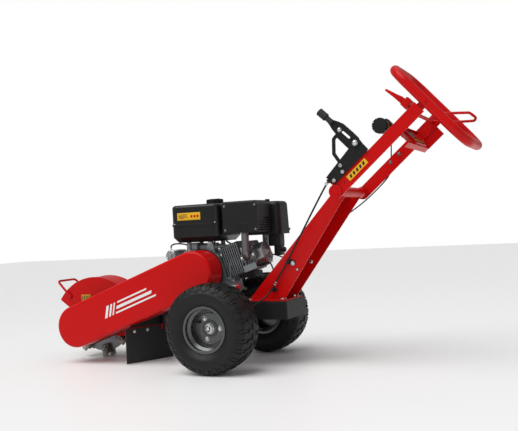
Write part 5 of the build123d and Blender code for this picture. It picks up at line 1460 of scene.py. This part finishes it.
@dataclass
class UpperHandle:
    """The folding handle with its loop, levers and console. Sizes in millimetres."""

    face_y: float = -193.0
    label: tuple[Pair, Pair] = ((77.5, 189.0), (-14.0, 11.5))
    pod: Pair = (327.0, 68.0)
    console_s: float = 374.0
    lever_face: float = -204.6

    def build(self) -> None:
        """Build and dress the upper handle."""
        Workshop.dress(RED, "handle_bars", "loop_handle", "console_panel", "presence_bail")
        Workshop.dress(BLACK, "brake_bracket", "brake_lever")
        Workshop.dress(PLASTIC, "control_pod", "control_knob")
        Workshop.dress(RUBBER, "brake_grip")
        Workshop.dress(ZINC, "handle_bolts")
        self.lever()
        self.bail_blade()
        self.label_plate()
        self.console_trim()
        self.pod_trim()
        self.bar_trim()

    def lever(self) -> None:
        """Build the folded brake lever with its slot, flange and bolts."""
        def row(*points: Pair, y: float = -200.0) -> list[Vector]:
            """Return handle points in one plane across."""
            return [PLACE.leant(s, n, y) for s, n in points]

        mesh, bolts = bmesh.new(), bmesh.new()
        left = ((189, 70), (184, 96), (177, 150), (174.5, 178), (176, 200), (181, 222), (183, 244),
                (180.5, 262))
        right = ((201, 264), (204, 240), (209, 224), (219, 204), (226, 186), (230.5, 130),
                 (232, 88), (228, 72), (209, 64))
        slot = [(201.5 + 5.0 * math.cos(a), 157 + 3.4 * math.sin(a))
                for a in (math.pi * k / 6 for k in range(7))]
        slot += [(205.5 + 5.0 * math.cos(a) - 0.6, 118 + 3.4 * math.sin(a))
                 for a in (math.pi + math.pi * k / 6 for k in range(7))]
        Workshop.plate(mesh, row(*left, *right), [row(*slot)], Vector((0, -0.0045, 0)))
        Workshop.prism(mesh, row((226, 186), (230.5, 130), (232, 88), (228, 88), (226.5, 130),
                                 (222, 186), y=-204.4), Vector((0, 0.018, 0)), 0.0007)
        Workshop.piece("brake_lever_plate", mesh, "brake_lever_body", BLACK, "black_paint",
                       "brake_lever")
        Workshop.bolt(bolts, PLACE.leant(207, 84, self.lever_face), LEFTWARD, 0.0098, Head.DOME)
        Workshop.bolt(bolts, PLACE.leant(198, 174, self.lever_face), LEFTWARD, 0.0078, Head.DOME)
        Workshop.piece("brake_lever_bolts", bolts, "brake_lever_body", ZINC, "zinc_steel")

    def bail_blade(self) -> None:
        """Add the presence bail's flat thumb blade and its root block."""
        mesh = bmesh.new()
        blade = [PLACE.leant(s, n, -166) for s, n in
                 ((444, 160), (454, 160), (461, 130), (478, 84), (474, 70), (452, 72), (450, 110))]
        Workshop.prism(mesh, blade, Vector((0, 0.012, 0)), 0.0022)
        Workshop.block(mesh, PLACE.leant(470, 52, -150), (0.042, 0.046, 0.034),
                       (PLACE.up_handle(), RIGHTWARD, PLACE.off_handle()), 0.003)
        Workshop.piece("bail_blade", mesh, "presence_bail_body", RED, "red_paint")

    def label_plate(self) -> None:
        """Add the plain yellow plate with black bars on the left bar."""
        plate, ink = bmesh.new(), bmesh.new()
        (s0, s1), (n0, n1) = self.label
        up, off = PLACE.up_handle(), PLACE.off_handle()
        axes = (up, RIGHTWARD, off)
        middle = PLACE.leant((s0 + s1) / 2, (n0 + n1) / 2, self.face_y - 0.3)
        Workshop.block(plate, middle, ((s1 - s0) / 1000, 0.0008, (n1 - n0) / 1000), axes, 0.0003)
        for k in range(5):
            s = s0 + 18 + 19 * k
            skew = off * 0.0068 + up * 0.0022
            side = up * 0.0052
            spot = PLACE.leant(s, (n0 + n1) / 2, self.face_y - 0.75)
            Workshop.prism(ink, [spot - skew - side, spot - skew + side, spot + skew + side,
                                 spot + skew - side], Vector((0, -0.0003, 0)))
        Workshop.piece("bar_plate", plate, "handle", YELLOW, "red_paint")
        Workshop.piece("bar_plate_bars", ink, "handle", INK, "black_paint")

    def console_trim(self) -> None:
        """Add the console's switches, plate and lamps."""
        grey, strip, ink = bmesh.new(), bmesh.new(), bmesh.new()
        up, off = PLACE.up_handle(), PLACE.off_handle()
        axes = (RIGHTWARD, off, up)
        Workshop.block(ink, PLACE.leant(self.console_s - 0.2, -32, 50), (0.178, 0.064, 0.0014),
                       axes, 0.0005)
        for y, n, wide, tall in ((-20, -28, 26, 20), (14, -28, 26, 20), (108, -30, 30, 24)):
            spot = PLACE.leant(self.console_s + 2.5, n, y)
            Workshop.block(grey, spot, (wide / 1000, tall / 1000, 0.006), axes, 0.0018)
            Workshop.block(ink, spot + up * 0.0038, (wide * 0.6 / 1000, tall * 0.55 / 1000, 0.003),
                           axes, 0.001)
        Workshop.block(strip, PLACE.leant(self.console_s + 0.4, -50, 50), (0.168, 0.011, 0.0009),
                       axes, 0.0003)
        for k in range(9):
            spot = PLACE.leant(self.console_s + 1.0, -50, -26 + 19 * k)
            Workshop.block(ink, spot, (0.008, 0.0055, 0.0004), axes, 0)
        for y in (48, 66):
            Workshop.lathe(grey, [(0, 0.008), (0.003, 0.0078), (0.0042, 0.006), (0.0046, 0.001)],
                           PLACE.leant(self.console_s, -28, y), up, 32)
        Workshop.piece("console_switches", grey, "handle", GREY, "black_plastic")
        Workshop.piece("console_strip", strip, "handle", YELLOW, "red_paint")
        Workshop.piece("console_marks", ink, "handle", INK, "black_plastic")

    def pod_trim(self) -> None:
        """Add the control knob's grip ribs and the pod's rings."""
        ribs, ring, green = bmesh.new(), bmesh.new(), bmesh.new()
        s, n = self.pod
        up, off = PLACE.up_handle(), PLACE.off_handle()
        for k in range(28):
            t = math.tau * k / 28
            out = up * math.cos(t) + off * math.sin(t)
            side = off * math.cos(t) - up * math.sin(t)
            spot = PLACE.leant(s, n, -163) + out * 0.0331
            Workshop.block(ribs, spot, (0.0016, 0.0038, 0.019), (out, side, RIGHTWARD), 0.0007)
        Workshop.piece("knob_ribs", ribs, "control_knob_body", PLASTIC, "black_plastic")
        centre = PLACE.leant(s, n, 0)
        Workshop.lathe(ring, [(0.128, 0.0301), (0.128, 0.0307), (0.134, 0.0307), (0.134, 0.0301)],
                       centre, LEFTWARD, 56, closed=True)
        Workshop.lathe(green, [(0.112, 0.0301), (0.112, 0.0307), (0.117, 0.0307),
                               (0.117, 0.0301)], centre, LEFTWARD, 56, closed=True)
        Workshop.piece("pod_ring", ring, "handle", YELLOW, "black_plastic")
        Workshop.piece("pod_band", green, "handle", GREEN, "black_plastic")

    def bar_trim(self) -> None:
        """Add the bolts inside the right bar and the plug in the left bar."""
        bolts, plugs = bmesh.new(), bmesh.new()
        for s in (198, 253):
            Workshop.bolt(bolts, PLACE.leant(s, 5, 185), LEFTWARD, 0.0066, Head.DOME)
        Workshop.lathe(plugs, [(0, 0.0035), (0.0008, 0.003)], PLACE.leant(55.8, 0, -193),
                       LEFTWARD, 20)
        # Painted shade: these plated bolts get the dark steel finish to stand for the shade on the
        # right bar's inner face.
        Workshop.piece("bar_bolts", bolts, "handle", DARK, "zinc_steel")
        Workshop.piece("bar_plug", plugs, "handle", INK, "black_plastic")


@dataclass
class Studio:
    """The pale floor, the soft lights and the camera. Sizes in metres."""

    eye: Colour = (1.672, -3.326, 0.643)
    heading: float = 25.03
    dip: float = 0.593
    roll: float = 3.4
    lens: float = 53.44
    sky: float = 0.36
    backdrop: float = 1.0
    floor_half: float = 14.0
    sun_from: Colour = (-0.45, -0.75, 1.5)
    sun_power: float = 2.35
    sun_spread: float = 55.0

    def build(self) -> None:
        """Build the studio round the machine."""
        bpy.context.scene.view_settings.view_transform = "Standard"
        self.floor()
        self.world()
        self.sun()
        self.light("key_light", (-1.8, -2.4, 3.0), (0.0, 0.0, 0.45), 1.8, 9.0)
        self.light("top_light", (0.6, 0.4, 3.4), (0.2, 0.0, 0.5), 2.2, 7.0)
        self.light("low_light", (2.0, -3.0, 0.8), (0.1, 0.0, 0.45), 1.6, 4.0)
        self.camera()

    def floor(self) -> None:
        """Add the plain pale floor."""
        mesh = bmesh.new()
        half = self.floor_half
        corners = [(-half, -half), (half, -half), (half, half), (-half, half)]
        mesh.faces.new([mesh.verts.new((x, y, 0.0)) for x, y in corners])
        floor = Workshop.solid("studio_floor", mesh)
        made = bpy.data.materials.new("studio_floor")
        made.use_nodes = True
        shader = made.node_tree.nodes["Principled BSDF"]
        shader.inputs["Base Color"].default_value = (0.92, 0.92, 0.92, 1.0)
        shader.inputs["Roughness"].default_value = 0.42
        floor.data.materials.append(made)

    def world(self) -> None:
        """Set the even white surroundings."""
        world = bpy.data.worlds.new("studio")
        world.use_nodes = True
        tree = world.node_tree
        lit = tree.nodes["Background"]
        lit.inputs["Color"].default_value = (1.0, 1.0, 1.0, 1.0)
        lit.inputs["Strength"].default_value = self.sky
        seen = tree.nodes.new("ShaderNodeBackground")
        seen.inputs["Color"].default_value = (1.0, 1.0, 1.0, 1.0)
        seen.inputs["Strength"].default_value = self.backdrop
        path = tree.nodes.new("ShaderNodeLightPath")
        choice = tree.nodes.new("ShaderNodeMixShader")
        tree.links.new(path.outputs["Is Camera Ray"], choice.inputs["Fac"])
        tree.links.new(lit.outputs["Background"], choice.inputs[1])
        tree.links.new(seen.outputs["Background"], choice.inputs[2])
        tree.links.new(choice.outputs["Shader"], tree.nodes["World Output"].inputs["Surface"])
        bpy.context.scene.world = world

    def sun(self) -> None:
        """Add the broad even light."""
        data = bpy.data.lights.new("broad_light", "SUN")
        data.energy = self.sun_power
        data.angle = math.radians(self.sun_spread)
        lamp = bpy.data.objects.new("broad_light", data)
        lamp.rotation_euler = Vector(self.sun_from).to_track_quat("Z", "Y").to_euler()
        bpy.context.scene.collection.objects.link(lamp)

    def light(self, name: str, at: Colour, aim: Colour, size: float, watts: float) -> None:
        """Add a soft square light.

        Args:
            name: The light's name.
            at: Its place.
            aim: What it points at.
            size: Its width.
            watts: Its power.
        """
        data = bpy.data.lights.new(name, "AREA")
        data.size = size
        data.energy = watts
        lamp = bpy.data.objects.new(name, data)
        lamp.location = at
        lamp.rotation_euler = (Vector(aim) - Vector(at)).to_track_quat("-Z", "Y").to_euler()
        bpy.context.scene.collection.objects.link(lamp)

    def camera(self) -> None:
        """Place the camera."""
        a, p, t = (math.radians(v) for v in (self.heading, self.dip, self.roll))
        right = Vector((math.cos(a), math.sin(a), 0))
        ahead = Vector((-math.sin(a) * math.cos(p), math.cos(a) * math.cos(p), -math.sin(p)))
        above = right.cross(ahead)
        tilt = Matrix(((math.cos(t), 0, math.sin(t)), (0, 1, 0), (-math.sin(t), 0, math.cos(t))))
        axes = [tilt @ right, tilt @ above, tilt @ -ahead]
        lens = bpy.data.cameras.new("camera")
        lens.lens = self.lens
        lens.sensor_width = 36.0
        lens.sensor_fit = "HORIZONTAL"
        made = bpy.data.objects.new("camera", lens)
        turn = Matrix((axes[0], axes[1], axes[2])).transposed().to_4x4()
        made.matrix_world = Matrix.Translation(
            Vector((self.eye[0] + PLACE.axle_x(), self.eye[1], self.eye[2]))) @ turn
        bpy.context.scene.collection.objects.link(made)
        bpy.context.scene.camera = made


def main() -> None:
    """Build every sub-assembly in order."""
    logging.basicConfig(level=logging.INFO, format="%(name)s: %(message)s")
    Wheel(Side.LEFT).build()
    Wheel(Side.RIGHT).build()
    for assembly in (CutterHead(), BeltDrive(), Chassis(), Engine(), Cables(), UpperHandle(),
                     Studio()):
        assembly.build()
        LOG.info("built %s", type(assembly).__name__)


if __name__ == "__main__":
    main()
